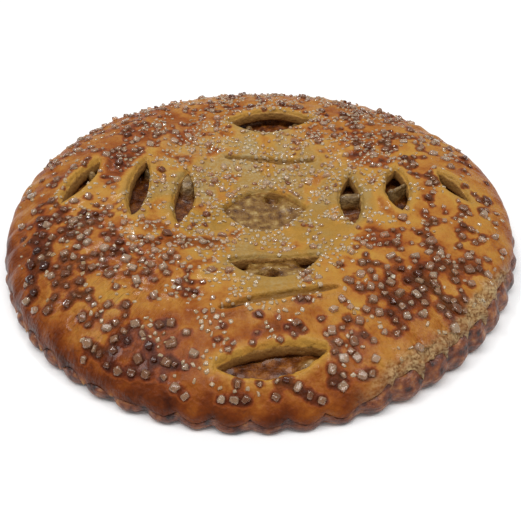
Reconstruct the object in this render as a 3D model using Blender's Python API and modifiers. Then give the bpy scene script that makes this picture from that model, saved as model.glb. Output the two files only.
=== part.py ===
"""A round apple pie, 180 mm across: fluted base crust, apple filling and a slit lid with coarse sugar.

Three solids, one inside the other:
  base_crust  a shallow tray of pastry with a fluted wall
  filling     the apple filling, which fills the tray and rises into the open slits
  lid         the domed upper crust with its skirt, its slits and the coarse sugar baked onto it

Lengths are in millimetres until a point is placed, and then in metres. +Z is up, the pie stands on
z = 0 and its front faces -Y. A bearing is an angle in degrees round the pie, 0 at the front and
growing towards +X.
"""

import math
import random

import bmesh
import bpy
from mathutils import Matrix, Vector, noise
from mathutils.bvhtree import BVHTree

MM = 0.001
GAP = 0.3  # between two solids that touch

# The whole pie.
RIM_RADIUS = 90.0  # to the crest of a flute
FLUTES = 56
FLUTE_DEPTH = 1.9
NOTCH_BEARING = -2.3  # of the notch between two flutes that is nearest the front
STEPS_PER_FLUTE = 3

# The base crust, a tray.
FLOOR_THICKNESS = 2.6
TRAY_RADIUS = 82.0  # of the hollow at its rim
TRAY_CORNER = 2.0  # how much narrower the hollow's floor is
WALL_LEAN = 0.5  # how far the wall leans in for each millimetre above the low seam

# The seam where the lid rests on the tray's rim.
SEAM_HEIGHT = 4.2
SEAM_WAVE = 1.0
SEAM_TORN = 4.8  # how much higher the seam lies where the lid has torn away
SEAM_LIFTED = 2.6  # and where it has only lifted
TORN_BEARINGS = (20.0, 64.0)
LIFTED_BEARINGS = (64.0, 112.0)
TORN_RETREAT = 2.6  # how far the torn edge has drawn back
LIFTED_RETREAT = 1.3

# The lid.
LID_THICKNESS = 4.2
LID_RADIUS = 89.2
SHOULDER_RADIUS = 64.0  # where the flat top turns down into the skirt
SHOULDER_FALL = 1.3  # 2 turns down along an ellipse, and less falls away sooner
RING_HEIGHT = 16.6
TIP = 2.2  # how much higher the rim of the dome would be on the side of TIP_BEARING
TIP_BEARING = -80.0
SADDLE = 2.6  # how much lower it would be at the front and back, and higher at the sides
RIM_INNER = TRAY_RADIUS + 0.6  # of the lid's rim, which rests on the tray's
UNDER_SHOULDER = 60.0  # where the underside starts to come down
UNDER_RINGS = (0.0, 24.0, 44.0, 60.0, 72.0)
CENTRE_SAG = 5.5
SAG_RADIUS = 46.0
SKIRT_FLUTE_DEPTH = 1.7
SKIRT_FLUTE_RISE = 8.0  # the height over which the skirt's flutes fade out
LID_FACES_KEPT = 0.54  # after thinning out the crown
CRAG_HEIGHT = 0.55
CRAG_SIZE = 13.0

# Swells and dips of the baked lid: x, y, radius, height.
SWELLS = (
    (5.0, 57.0, 11.0, 1.2),
    (4.0, -60.0, 12.0, 1.2),
    (3.0, -24.0, 11.0, -0.8),
)

# The slits: x, y, length, width on the far side, width on the near side, turn from +X, depth of the cut.
THROUGH = 14.0
SCORED = 2.4
SLITS = {
    "back_outer": (5.5, 48.0, 35.0, 6.4, 7.2, 3.0, THROUGH),
    "back_inner": (4.4, 22.4, 33.0, 1.2, 1.2, -6.0, SCORED),
    "centre": (1.8, -6.6, 29.4, 11.3, 11.2, 1.0, THROUGH),
    "front_inner": (4.5, -35.7, 29.0, 1.6, 9.6, 4.0, THROUGH),
    "front_middle": (5.3, -54.5, 34.0, 1.0, 1.0, 13.0, SCORED),
    "front_outer": (2.6, -73.6, 31.0, 2.4, 5.4, 9.0, THROUGH),
    "left_outer": (-62.5, 2.6, 28.0, 2.8, 2.8, 72.0, THROUGH),
    "left_middle": (-41.9, 1.0, 34.0, 3.3, 3.0, 89.0, THROUGH),
    "left_inner": (-26.6, -0.9, 31.0, 3.0, 3.6, 88.0, THROUGH),
    "right_inner": (32.5, -4.6, 28.5, 4.2, 3.2, 87.0, THROUGH),
    "right_middle": (48.9, -2.3, 25.0, 4.4, 3.6, 85.0, THROUGH),
    "right_outer": (68.3, -2.0, 18.0, 2.8, 2.8, 112.0, THROUGH),
}
LIP_WIDTH = 4.5  # of the raised welt round an open slit
LIP_HEIGHT = 0.9
SLIT_STEPS = 7  # chords along each side of a slit

# The filling. How far below the lid's upper side it lies in each open slit.
FILLING_DEPTHS = {
    "back_outer": 7.5,
    "centre": 1.6,
    "front_inner": 3.2,
    "front_outer": 6.0,
    "left_outer": 6.0,
    "left_middle": 7.0,
    "left_inner": 3.0,
    "right_inner": 4.0,
    "right_middle": 5.0,
    "right_outer": 6.0,
}
FILLING_STEPS = 54

# The coarse sugar: cuboids of boiled-down crystal, the largest of those scattered over the lid.
SUGAR_COUNT = 235
SUGAR_SEED = 11
SUGAR_EDGE = (1.9, 3.1)
SUGAR_SUNK = 0.3  # the part of a crystal's height that is baked in
SUGAR_SPACING = 4.5
SUGAR_REACH = 84.0  # the farthest radius that holds any
SLIT_MARGIN = 3.4
# Where the sugar lies thickly: x, y, radius, weight.
SUGAR_PATCHES = (
    (-62.0, -30.0, 20.0, 0.9),
    (-44.0, -36.0, 18.0, 0.5),
    (-66.0, -48.0, 9.0, 1.2),
    (-42.0, -70.0, 7.0, 1.2),
    (-31.0, -71.0, 6.5, 2.5),
    (-22.0, -80.0, 5.0, 1.2),
    (-9.0, -83.0, 8.0, 1.2),
    (12.0, -81.0, 6.0, 2.5),
    (27.0, -74.0, 7.0, 1.6),
    (26.0, -64.0, 8.0, 1.4),
    (44.0, -54.0, 8.0, 2.0),
    (56.0, -50.0, 12.0, 0.9),
    (34.0, -45.0, 9.0, 0.9),
    (66.0, -22.0, 16.0, 0.6),
    (57.0, 39.0, 24.0, 0.8),
    (-50.0, 38.0, 24.0, 0.5),
    (2.0, 8.0, 26.0, 0.4),
)
SUGAR_EVERYWHERE = 0.12

TURN = 360.0
SCREW_STEPS = FLUTES * STEPS_PER_FLUTE
MERGE_DISTANCE = 0.00005


def clear_scene():
    for thing in list(bpy.data.objects):
        bpy.data.objects.remove(thing, do_unlink=True)


def new_collection(name, hidden=False):
    made = bpy.data.collections.new(name)
    bpy.context.scene.collection.children.link(made)
    made.hide_render = hidden
    return made


def material(name, colour, roughness):
    made = bpy.data.materials.new(name)
    made.use_nodes = True
    shader = made.node_tree.nodes["Principled BSDF"]
    shader.inputs["Base Color"].default_value = (*colour, 1.0)
    shader.inputs["Roughness"].default_value = roughness
    shader.inputs["Metallic"].default_value = 0.0
    return made


# ---------------------------------------------------------------- the form, as functions of place


def ease(low, high, value):
    """0 up to low, 1 from high on, and smooth between."""
    t = min(max((value - low) / (high - low), 0.0), 1.0)
    return t * t * (3.0 - 2.0 * t)


def window(value, span, soft):
    """1 inside a span and 0 outside it, over a soft edge."""
    return ease(span[0] - soft, span[0] + soft, value) * (1.0 - ease(span[1] - soft, span[1] + soft, value))


def hill(x, y, swell):
    """A smooth round hill or dip."""
    centre_x, centre_y, radius, height = swell
    away = math.hypot(x - centre_x, y - centre_y) / radius
    return height * math.exp(-away * away)


def bearing_of(x, y):
    return math.degrees(math.atan2(x, -y))


def at(radius, bearing, height):
    angle = math.radians(bearing)
    return radius * math.sin(angle), -radius * math.cos(angle), height


def flute(bearing):
    """0 in the sharp notch between two flutes, 1 on a flute's round crest."""
    return abs(math.sin(math.pi * (bearing - NOTCH_BEARING) * FLUTES / TURN))


def hanging(bearing):
    """1 on the left side, where the lid's edge hangs in points into the tray's notches."""
    return ease(12.0, 42.0, -bearing) * (1.0 - ease(130.0, 165.0, -bearing))


def skirt_flute(bearing):
    """0 where the skirt is pinched in, 1 where it stands out and hangs lowest."""
    share = hanging(bearing)
    return flute(bearing) * (1.0 - share) + (1.0 - flute(bearing)) * share


def torn(bearing):
    return window(bearing, TORN_BEARINGS, 7.0)


def lifted(bearing):
    return window(bearing, LIFTED_BEARINGS, 9.0)


def seam_height(bearing):
    """The height of the seam between tray and lid. It dips under each flute of the skirt."""
    wave = SEAM_WAVE * (1.0 - 2.0 * skirt_flute(bearing))
    raised = SEAM_TORN * torn(bearing) + SEAM_LIFTED * lifted(bearing)
    return SEAM_HEIGHT + raised + wave * (1.0 - 0.8 * lifted(bearing))


def to_slit(x, y, slit):
    """A place in a slit's own axes: along it, and across it."""
    centre_x, centre_y, turn = slit[0], slit[1], math.radians(slit[5])
    dx, dy = x - centre_x, y - centre_y
    return dx * math.cos(turn) + dy * math.sin(turn), dy * math.cos(turn) - dx * math.sin(turn)


def slit_half_width(slit, along, side):
    """Half the width of a slit at a distance along it, on its far side (+1) or its near side (-1)."""
    reach = min(abs(2.0 * along / slit[2]), 1.0)
    return slit[3 if side > 0 else 4] * (1.0 - reach**2.2)


def beyond_slit(x, y, slit):
    """Roughly how far a place is from a slit's edge, and negative inside the slit."""
    along, across = to_slit(x, y, slit)
    past_end = max(abs(along) - 0.5 * slit[2], 0.0)
    past_side = abs(across) - slit_half_width(slit, along, across)
    return math.hypot(past_end, max(past_side, 0.0)) if past_end or past_side > 0 else past_side


def lips(x, y):
    """The raised welts round the open slits."""
    height = 0.0
    for slit in SLITS.values():
        away = beyond_slit(x, y, slit)
        height = max(height, math.exp(-((max(away, 0.0) / LIP_WIDTH) ** 2)))
    return LIP_HEIGHT * height


def crags(x, y):
    return CRAG_HEIGHT * noise.noise(Vector((x, y, 0.0)) / CRAG_SIZE)


def dome_height(x, y):
    """The height of the lid's broad form: a ring with a sunken middle, swollen here and there."""
    radius, bearing = math.hypot(x, y), math.radians(bearing_of(x, y))
    sag = CENTRE_SAG * max(1.0 - (radius / SAG_RADIUS) ** 2, 0.0)
    reach = radius / RIM_RADIUS
    tip = TIP * reach * math.cos(bearing - math.radians(TIP_BEARING))
    saddle = SADDLE * reach**2 * math.cos(2.0 * bearing)
    return RING_HEIGHT - sag + tip - saddle + sum(hill(x, y, swell) for swell in SWELLS)


def crown_height(x, y):
    """The height of the lid's upper side, short of the shoulder."""
    return dome_height(x, y) + lips(x, y) + crags(x, y)


def edge_radius(bearing):
    """How far out the lid's edge comes, short of its flutes."""
    return LID_RADIUS - TORN_RETREAT * torn(bearing) - LIFTED_RETREAT * lifted(bearing)


def lid_point(radius, bearing, lean=0.0):
    """A point of the lid's upper side. On the crown, radius is the point's own. On the skirt, lean goes
    from 0 at the shoulder to 1 at the lower edge."""
    if lean:
        outward = math.sin(lean * math.pi / 2) ** (2.0 / SHOULDER_FALL)
        radius = SHOULDER_RADIUS + (edge_radius(bearing) - SHOULDER_RADIUS) * outward
    x, y, _ = at(radius, bearing, 0.0)
    height = crown_height(x, y)
    if lean:
        foot = seam_height(bearing) + GAP / 2
        height = foot + (height - foot) * math.cos(lean * math.pi / 2)
        fading = 1.0 - ease(0.0, SKIRT_FLUTE_RISE, height - foot)
        smooth_edge = 1.0 - 0.75 * max(torn(bearing), lifted(bearing))
        pulled = SKIRT_FLUTE_DEPTH * fading * smooth_edge * (1.0 - skirt_flute(bearing))
        x *= 1.0 - pulled / radius
        y *= 1.0 - pulled / radius
    return x, y, height


def lid_top(x, y):
    """The height of the lid's upper side at any place on it."""
    radius, bearing = math.hypot(x, y), bearing_of(x, y)
    if radius <= SHOULDER_RADIUS:
        return crown_height(x, y)
    across = min((radius - SHOULDER_RADIUS) / (edge_radius(bearing) - SHOULDER_RADIUS), 1.0)
    foot = seam_height(bearing)
    return foot + (crown_height(x, y) - foot) * math.sqrt(1.0 - across**SHOULDER_FALL)


def under_height(radius, bearing, foot):
    """The height of the lid's underside, which comes down to its foot inside the tray's rim."""
    x, y, _ = at(radius, bearing, 0.0)
    outward = max(radius - UNDER_SHOULDER, 0.0) / (RIM_INNER - UNDER_SHOULDER)
    return foot + (dome_height(x, y) - LID_THICKNESS - foot) * math.sqrt(1.0 - outward**SHOULDER_FALL)


# ---------------------------------------------------------------- making and joining meshes


def turned(name, profile, steps):
    """A closed solid turned round Z from a profile of (radius, height) points, from the axis outwards,
    down the outer side and back to the axis. Each vertex keeps its profile point's number, its station,
    so that it can be shaped afterwards."""
    mesh = bpy.data.meshes.new(name)
    points = [(radius * MM, 0.0, height * MM) for radius, height in profile]
    mesh.from_pydata(points, [(i, i + 1) for i in range(len(points) - 1)], [])
    number = mesh.attributes.new("station", "INT", "POINT")
    number.data.foreach_set("value", range(len(points)))
    thing = bpy.data.objects.new(name, mesh)
    bpy.context.scene.collection.objects.link(thing)
    screw = thing.modifiers.new("Turn", "SCREW")
    screw.steps = screw.render_steps = steps
    screw.use_merge_vertices = True
    screw.merge_threshold = MERGE_DISTANCE
    return as_mesh(thing)


def as_mesh(thing):
    """Applies an object's modifiers."""
    seen = bpy.context.evaluated_depsgraph_get()
    seen.update()
    made = bpy.data.meshes.new_from_object(thing.evaluated_get(seen))
    thing.modifiers.clear()
    thing.data = made
    return thing


def shape(thing, place):
    """Moves each vertex to place(station, radius, bearing, height), in millimetres."""
    stations = thing.data.attributes["station"].data
    for vertex, station in zip(thing.data.vertices, stations):
        x, y, z = (value / MM for value in vertex.co)
        vertex.co = Vector(place(station.value, math.hypot(x, y), bearing_of(x, y), z)) * MM
    thing.data.update()


def boolean(thing, others, operation, solver="EXACT"):
    """One Boolean with all of a collection, applied, and the collection's objects removed."""
    step = thing.modifiers.new(operation.title(), "BOOLEAN")
    step.operand_type = "COLLECTION"
    step.collection = others
    step.operation = operation
    step.solver = solver
    as_mesh(thing)
    for other in list(others.objects):
        bpy.data.objects.remove(other, do_unlink=True)


def thin_out(thing, last_station, share):
    """Collapses edges up to a station, where the form is smooth, to leave a share of all the faces."""
    group = thing.vertex_groups.new(name="smooth")
    stations = thing.data.attributes["station"].data
    chosen = [vertex.index for vertex, station in zip(thing.data.vertices, stations) if station.value <= last_station]
    group.add(chosen, 1.0, "REPLACE")
    collapse = thing.modifiers.new("Thin", "DECIMATE")
    collapse.vertex_group = group.name
    collapse.ratio = share
    as_mesh(thing)
    thing.vertex_groups.clear()


def slit_outline(slit, inset=0.0):
    """A slit's outline in its own axes: two bowed sides that meet in points."""
    half = 0.5 * slit[2] - 2.0 * inset
    stations = [-half + 2.0 * half * i / SLIT_STEPS for i in range(SLIT_STEPS + 1)]
    near = [(a, -max(slit_half_width(slit, a, -1) - inset, 0.05)) for a in stations[1:-1]]
    far = [(a, max(slit_half_width(slit, a, 1) - inset, 0.05)) for a in reversed(stations[1:-1])]
    return [(-half, 0.0), *near, (half, 0.0), *far]


def prism(name, slit, inset, low, high, collection):
    """An upright block with a slit's outline, as a flat curve that is extruded and made a mesh."""
    curve = bpy.data.curves.new(name, "CURVE")
    curve.dimensions = "2D"
    curve.fill_mode = "BOTH"
    curve.extrude = (high - low) / 2 * MM
    outline = slit_outline(slit, inset)
    spline = curve.splines.new("POLY")
    spline.points.add(len(outline) - 1)
    for point, (along, across) in zip(spline.points, outline):
        point.co = (along * MM, across * MM, 0.0, 1.0)
    spline.use_cyclic_u = True
    drawn = bpy.data.objects.new(name, curve)
    collection.objects.link(drawn)
    drawn.rotation_euler.z = math.radians(slit[5])
    drawn.location = (slit[0] * MM, slit[1] * MM, (high + low) / 2 * MM)
    seen = bpy.context.evaluated_depsgraph_get()
    seen.update()
    mesh = bpy.data.meshes.new_from_object(drawn.evaluated_get(seen))
    block = bpy.data.objects.new(name, mesh)
    block.matrix_world = drawn.matrix_world.copy()
    bpy.data.objects.remove(drawn, do_unlink=True)
    collection.objects.link(block)
    work = bmesh.new()
    work.from_mesh(mesh)
    bmesh.ops.remove_doubles(work, verts=work.verts, dist=MERGE_DISTANCE)
    bmesh.ops.recalc_face_normals(work, faces=work.faces)
    work.to_mesh(mesh)
    work.free()
    return block


# ---------------------------------------------------------------- the three solids


def build_base_crust(collection, finish):
    """The tray: a flat floor, a wall with flutes outside and none inside, and a rim that meets the lid."""
    top = SEAM_HEIGHT
    inner = [(0.0, FLOOR_THICKNESS), (TRAY_RADIUS - TRAY_CORNER, FLOOR_THICKNESS), (TRAY_RADIUS, top)]
    outer = [(RIM_RADIUS - 0.6, top), (RIM_RADIUS, 2.8), (RIM_RADIUS - 0.3, 1.2), (RIM_RADIUS - 2.0, 0.0)]
    tray = turned("base_crust", [*inner, *outer, (0.0, 0.0)], SCREW_STEPS)
    rim_inner, rim_outer = len(inner) - 1, len(inner)
    foot = rim_outer + len(outer) - 1

    def place(station, radius, bearing, height):
        if station in (rim_inner, rim_outer):
            height = seam_height(bearing) - GAP / 2
        if rim_outer <= station <= foot:
            leaning = WALL_LEAN * max(height - SEAM_HEIGHT, 0.0)
            radius -= FLUTE_DEPTH * (1.0 - flute(bearing)) + leaning
        return at(radius, bearing, height)

    shape(tray, place)
    return finished(tray, collection, finish)


def build_filling(collection, blocks, finish):
    """The filling: a low round body in the tray, with a block of filling that rises in each open slit."""
    low = FLOOR_THICKNESS + GAP
    side = TRAY_RADIUS - TRAY_CORNER - 2.0 * GAP
    lowest_seam = SEAM_HEIGHT - SEAM_WAVE
    profile = [*((radius, RING_HEIGHT) for radius in UNDER_RINGS), (side, lowest_seam), (side, low), (0.0, low)]
    body = turned("filling", profile, FILLING_STEPS)

    def place(station, radius, bearing, height):
        if station < len(UNDER_RINGS):
            height = under_height(radius, bearing, lowest_seam) - 2.0 * GAP
        return at(radius, bearing, height)

    shape(body, place)
    for name, depth in FILLING_DEPTHS.items():
        slit = SLITS[name]
        top = lid_top(slit[0], slit[1]) - depth
        prism(name, slit, 2.0 * GAP, FLOOR_THICKNESS + 2.0, top, blocks)
    boolean(body, blocks, "UNION")
    return finished(body, collection, finish)


def lid_profile():
    """The lid's section as (kind, value) stations: its upper side, its skirt, its rim and its underside."""
    crown = [("crown", r) for r in (0.0, 9.0, 18.0, 27.0, 36.0, 44.0, 52.0, 60.0)]
    skirt = [("skirt", lean) for lean in (0.02, 0.25, 0.45, 0.62, 0.78, 0.91, 1.0)]
    rim = [("rim", RIM_INNER)]
    under = [("under", r) for r in reversed(UNDER_RINGS)]
    return crown + skirt + rim + under


def build_lid(collection, cutters, sugar, finish):
    stations = lid_profile()
    rough = []
    for kind, value in stations:
        if kind == "skirt":
            x, y, z = lid_point(0.0, 180.0, value)
            rough.append((math.hypot(x, y), z))
        else:
            rough.append((value, {"crown": RING_HEIGHT, "rim": SEAM_HEIGHT, "under": SEAM_HEIGHT}[kind]))
    lid = turned("lid", rough, SCREW_STEPS)

    def place(station, radius, bearing, height):
        kind, value = stations[station]
        if kind == "crown":
            return lid_point(value, bearing)
        if kind == "skirt":
            return lid_point(0.0, bearing, value)
        foot = seam_height(bearing) + GAP / 2
        return at(value, bearing, foot if kind == "rim" else under_height(value, bearing, foot))

    shape(lid, place)
    last_smooth = len([kind for kind, _ in stations if kind == "crown"]) + 1
    thin_out(lid, last_smooth, LID_FACES_KEPT)
    for name, slit in SLITS.items():
        top = lid_top(slit[0], slit[1])
        prism(name, slit, 0.0, top - slit[6], top + THROUGH, cutters)
    boolean(lid, cutters, "DIFFERENCE")
    scatter_sugar(surface_of(lid), sugar)
    boolean(lid, sugar, "UNION", "MANIFOLD")
    return finished(lid, collection, finish)


def sugar_weight(x, y):
    return SUGAR_EVERYWHERE + sum(hill(x, y, patch) for patch in SUGAR_PATCHES)


def surface_of(thing):
    """A tree of a solid's faces, to find where a crystal lands."""
    work = bmesh.new()
    work.from_mesh(thing.data)
    faces = BVHTree.FromBMesh(work)
    work.free()
    return faces


def scatter_sugar(surface, collection):
    """Drops the crystals one by one where the sugar is thick, apart from each other and from the slits."""
    draw = random.Random(SUGAR_SEED)
    placed = []
    while len(placed) < SUGAR_COUNT:
        radius = SUGAR_REACH * math.sqrt(draw.random())
        bearing = TURN * draw.random()
        x, y = radius * math.sin(math.radians(bearing)), radius * math.cos(math.radians(bearing))
        if draw.random() > sugar_weight(x, y):
            continue
        if any(math.hypot(x - a, y - b) < SUGAR_SPACING for a, b in placed):
            continue
        if any(beyond_slit(x, y, slit) < SLIT_MARGIN for slit in SLITS.values()):
            continue
        placed.append((x, y))
        edges = [draw.uniform(*SUGAR_EDGE) for _ in range(3)]
        spin = draw.uniform(0.0, TURN)
        tilt = draw.uniform(-14.0, 14.0)
        above = Vector((x * MM, y * MM, RIM_RADIUS * MM))
        place, normal, _, _ = surface.ray_cast(above, Vector((0.0, 0.0, -1.0)))
        crystal(len(placed), place / MM, normal, edges, spin, tilt, collection)


def crystal(number, place, normal, edges, spin, tilt, collection):
    """A cuboid of sugar that stands on a place of the lid, partly sunk in."""
    stand = normal.to_track_quat("Z", "Y").to_matrix().to_4x4()
    turn = Matrix.Rotation(math.radians(spin), 4, "Z") @ Matrix.Rotation(math.radians(tilt), 4, "X")
    size = Matrix.Diagonal((*(edge * MM for edge in edges), 1.0))
    centre = place + normal * edges[2] * (0.5 - SUGAR_SUNK)
    mesh = bpy.data.meshes.new(f"sugar_{number}")
    work = bmesh.new()
    bmesh.ops.create_cube(work, size=1.0, matrix=Matrix.Translation(centre * MM) @ stand @ turn @ size)
    work.to_mesh(mesh)
    work.free()
    collection.objects.link(bpy.data.objects.new(mesh.name, mesh))


def finished(thing, collection, finish):
    """Files a solid in the pie's collection with its material."""
    for holder in list(thing.users_collection):
        holder.objects.unlink(thing)
    collection.objects.link(thing)
    if "station" in thing.data.attributes:
        thing.data.attributes.remove(thing.data.attributes["station"])
    thing.data.materials.clear()
    thing.data.materials.append(finish)
    thing.data.polygons.foreach_set("use_smooth", [True] * len(thing.data.polygons))
    thing.data.set_sharp_from_angle(angle=math.radians(35.0))
    return thing


def main():
    clear_scene()
    pie = new_collection("apple_pie")
    cutters = new_collection("slit_cutters", hidden=True)
    blocks = new_collection("filling_blocks", hidden=True)
    sugar = new_collection("sugar", hidden=True)
    build_base_crust(pie, material("base_pastry", (0.19, 0.075, 0.03), 0.6))
    build_filling(pie, blocks, material("apple_filling", (0.30, 0.20, 0.06), 0.25))
    build_lid(pie, cutters, sugar, material("lid_pastry", (0.47, 0.22, 0.07), 0.4))
    for helper in (cutters, blocks, sugar):
        bpy.data.collections.remove(helper)


main()
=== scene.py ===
# %% [markdown]
# # An apple pie in puff pastry
#
# The pie is 180 mm across: a fluted base crust, an apple filling, and a domed lid with twelve cuts and crushed
# sugar baked onto it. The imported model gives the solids. This script makes the surfaces that are seen, in the same
# frame and at true size.

import math
import random
from collections import namedtuple

import bmesh
import bpy
import numpy as np
from mathutils import Matrix, Vector, kdtree, noise
from mathutils.bvhtree import BVHTree
from mathutils.geometry import delaunay_2d_cdt


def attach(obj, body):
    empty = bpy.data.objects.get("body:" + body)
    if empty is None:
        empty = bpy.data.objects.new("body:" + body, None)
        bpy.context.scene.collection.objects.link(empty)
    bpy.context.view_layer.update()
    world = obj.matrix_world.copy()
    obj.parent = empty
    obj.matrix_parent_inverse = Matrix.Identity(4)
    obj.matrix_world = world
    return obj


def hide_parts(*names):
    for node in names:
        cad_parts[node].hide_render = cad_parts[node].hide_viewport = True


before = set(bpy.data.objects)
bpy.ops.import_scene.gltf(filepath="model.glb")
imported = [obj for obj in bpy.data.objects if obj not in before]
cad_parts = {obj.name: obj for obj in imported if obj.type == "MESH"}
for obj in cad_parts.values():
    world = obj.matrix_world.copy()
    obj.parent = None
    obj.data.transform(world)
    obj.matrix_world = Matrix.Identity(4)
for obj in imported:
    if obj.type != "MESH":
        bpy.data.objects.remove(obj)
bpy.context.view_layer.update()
print("nodes:", sorted(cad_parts))

# %% [markdown]
# ## Small helpers
#
# Lengths are in millimetres until a mesh is made. Colours are written as on a screen, in sRGB hex, and Blender's
# shaders want linear light, so one function turns them. One more adds a node to any tree, and joins it up.

# %% Helpers for meshes and nodes
MM = 0.001


def linear(hex_colour):
    parts = [int(hex_colour[i : i + 2], 16) / 255 for i in (1, 3, 5)]
    return (*(c / 12.92 if c <= 0.04045 else ((c + 0.055) / 1.055) ** 2.4 for c in parts), 1.0)


def add(tree, kind, inputs=None, stops=None, out=0, **settings):
    """Adds a node and gives back one of its outputs, or all of them where out is None.

    inputs maps sockets, by name or number, to a value, a hex colour or another node's output.
    """
    node = tree.nodes.new(kind)
    for name, value in settings.items():
        setattr(node, name, value)
    for key, value in (inputs or {}).items():
        if isinstance(value, bpy.types.NodeSocket):
            tree.links.new(value, node.inputs[key])
        elif value is not None:
            is_colour = isinstance(value, str) and value.startswith("#")
            node.inputs[key].default_value = linear(value) if is_colour else value
    for number, (place, colour) in enumerate(stops or []):
        elements = node.color_ramp.elements
        stop = elements[number] if number < 2 else elements.new(place)
        stop.position, stop.color = place, linear(colour)
    return node.outputs if out is None else node.outputs[out]


def put(name, data):
    """Puts a mesh, a lamp or a camera into the scene as an object."""
    thing = bpy.data.objects.new(name, data)
    bpy.context.scene.collection.objects.link(thing)
    return thing


def mesh_object(name, points, faces):
    mesh = bpy.data.meshes.new(name)
    mesh.from_pydata([tuple(p) for p in np.asarray(points) * MM], [], [tuple(f) for f in faces])
    mesh.shade_smooth()
    return put(name, mesh)


def check_closed(thing, turn_out=False):
    """Tells whether a mesh is closed, and turns its faces outwards where that is asked."""
    work = bmesh.new()
    work.from_mesh(thing.data)
    if turn_out:
        bmesh.ops.recalc_face_normals(work, faces=work.faces)
        work.to_mesh(thing.data)
    print(thing.name, "faces:", len(work.faces), "open edges:", sum(len(e.link_faces) != 2 for e in work.edges))
    work.free()


def paint(thing, name, values):
    """Stores one number for each vertex, which a material can read."""
    layer = thing.data.attributes.new(name, "FLOAT", "POINT")
    layer.data.foreach_set("value", np.clip(values, 0.0, 1.0).astype(np.float32))


print("linear light of mid grey:", round(linear("#808080")[0], 3))

# %% Helpers for shapes
def ease(low, high, value):
    """Climbs softly from 0 at low to 1 at high."""
    t = np.clip((value - low) / (high - low), 0.0, 1.0)
    return t * t * (3.0 - 2.0 * t)


def window(value, span, soft):
    return ease(span[0] - soft, span[0] + soft, value) * (1.0 - ease(span[1] - soft, span[1] + soft, value))


def hills(x, y, places):
    """A sum of round hills, each with its x, y, radius and height."""
    return sum(height * np.exp(-((x - at_x) ** 2 + (y - at_y) ** 2) / r**2) for at_x, at_y, r, height in places)


def relief(x, y, z, size, seed=0.0):
    """Smooth noise from about -1 to 1, with bumps of the given size in millimetres."""
    points = zip(x, y, np.broadcast_to(z, len(x)))
    return np.array([noise.noise(Vector((a / size, b / size, c / size + seed))) for a, b, c in points])


def bumps(x, y, z, *layers):
    """A sum of reliefs, each with its height, size and seed."""
    return sum(height * relief(x, y, z, size, seed) for height, size, seed in layers)


def bearing_of(x, y):
    return np.degrees(np.arctan2(x, -y))


def around(radius, angle):
    """The place at a radius and at an angle, in radians from the front towards +X."""
    return radius * np.sin(angle), -radius * np.cos(angle)


print("bearing of a point on the right:", bearing_of(1.0, 0.0))

# %% [markdown]
# ## The form of the pie
#
# These are the same sizes and rules as the solids have. A bearing goes round the pie in degrees, from 0 at the
# front towards +X. The edge is pinched into 56 flutes. On the left the lid's points hang into the notches of the
# base; at the right front the lid has risen and torn, so that pale crumb shows.
#
# The dome could be sculpted by hand, but a rule for its height is exact, and every later step can ask it where the
# crust is.

# %% The sizes of the pie, in millimetres
RIM_RADIUS = 90.0
FLUTES, FLUTE_DEPTH, NOTCH_BEARING = 56, 1.9, -2.3
FLOOR_THICKNESS, TRAY_RADIUS, TRAY_CORNER, WALL_LEAN = 2.6, 82.0, 2.0, 0.5
# The seam between lid and base is wavy, and rises where the lid has torn or lifted.
SEAM_HEIGHT, SEAM_WAVE, SEAM_TORN, SEAM_LIFTED = 4.2, 1.0, 4.8, 2.6
TORN_BEARINGS, LIFTED_BEARINGS = (20.0, 64.0), (64.0, 112.0)
TORN_RETREAT, LIFTED_RETREAT = 2.6, 1.3
# The lid stands highest in a ring. It sags inside the ring and falls over a shoulder outside it.
LID_THICKNESS, LID_RADIUS, SHOULDER_RADIUS, SHOULDER_FALL = 4.2, 89.2, 64.0, 1.3
RING_HEIGHT, CENTRE_SAG, SAG_RADIUS = 16.6, 5.5, 46.0
TIP, TIP_BEARING, SADDLE = 2.2, -80.0, 2.6
SWELLS = ((5, 57, 11, 1.2), (4, -60, 12, 1.2), (3, -24, 11, -0.8))
UNDER_SHOULDER, RIM_INNER = 60.0, 82.6
SKIRT_FLUTE_DEPTH, SKIRT_FLUTE_RISE = 1.3, 8.0
GAP = 0.3


def flute(bearing):
    """0 in the sharp notch between two flutes, 1 on a flute's round crest."""
    return np.abs(np.sin(math.pi * (bearing - NOTCH_BEARING) * FLUTES / 360.0))


def hanging(bearing):
    """1 on the left side, where the lid's edge hangs in points between the base's flutes."""
    return ease(12.0, 42.0, -bearing) * (1.0 - ease(130.0, 165.0, -bearing))


def skirt_flute(bearing):
    return flute(bearing) * (1.0 - hanging(bearing)) + (1.0 - flute(bearing)) * hanging(bearing)


def torn(bearing):
    return window(bearing, TORN_BEARINGS, 7.0)


def lifted(bearing):
    return window(bearing, LIFTED_BEARINGS, 9.0)


def seam_height(bearing):
    wave = SEAM_WAVE * (1.0 - 2.0 * skirt_flute(bearing))
    raised = SEAM_TORN * torn(bearing) + SEAM_LIFTED * lifted(bearing)
    return SEAM_HEIGHT + raised + wave * (1.0 - 0.8 * lifted(bearing))


def edge_radius(bearing):
    return LID_RADIUS - TORN_RETREAT * torn(bearing) - LIFTED_RETREAT * lifted(bearing)


def dome_height(x, y):
    radius, bearing = np.hypot(x, y), np.radians(bearing_of(x, y))
    sag = CENTRE_SAG * np.maximum(1.0 - (radius / SAG_RADIUS) ** 2, 0.0)
    reach = radius / RIM_RADIUS
    tip = TIP * reach * np.cos(bearing - math.radians(TIP_BEARING))
    saddle = SADDLE * reach**2 * np.cos(2.0 * bearing)
    return RING_HEIGHT - sag + tip - saddle + hills(x, y, SWELLS)


print("flute pitch:", round(2 * math.pi * RIM_RADIUS / FLUTES, 1), "mm")

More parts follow.
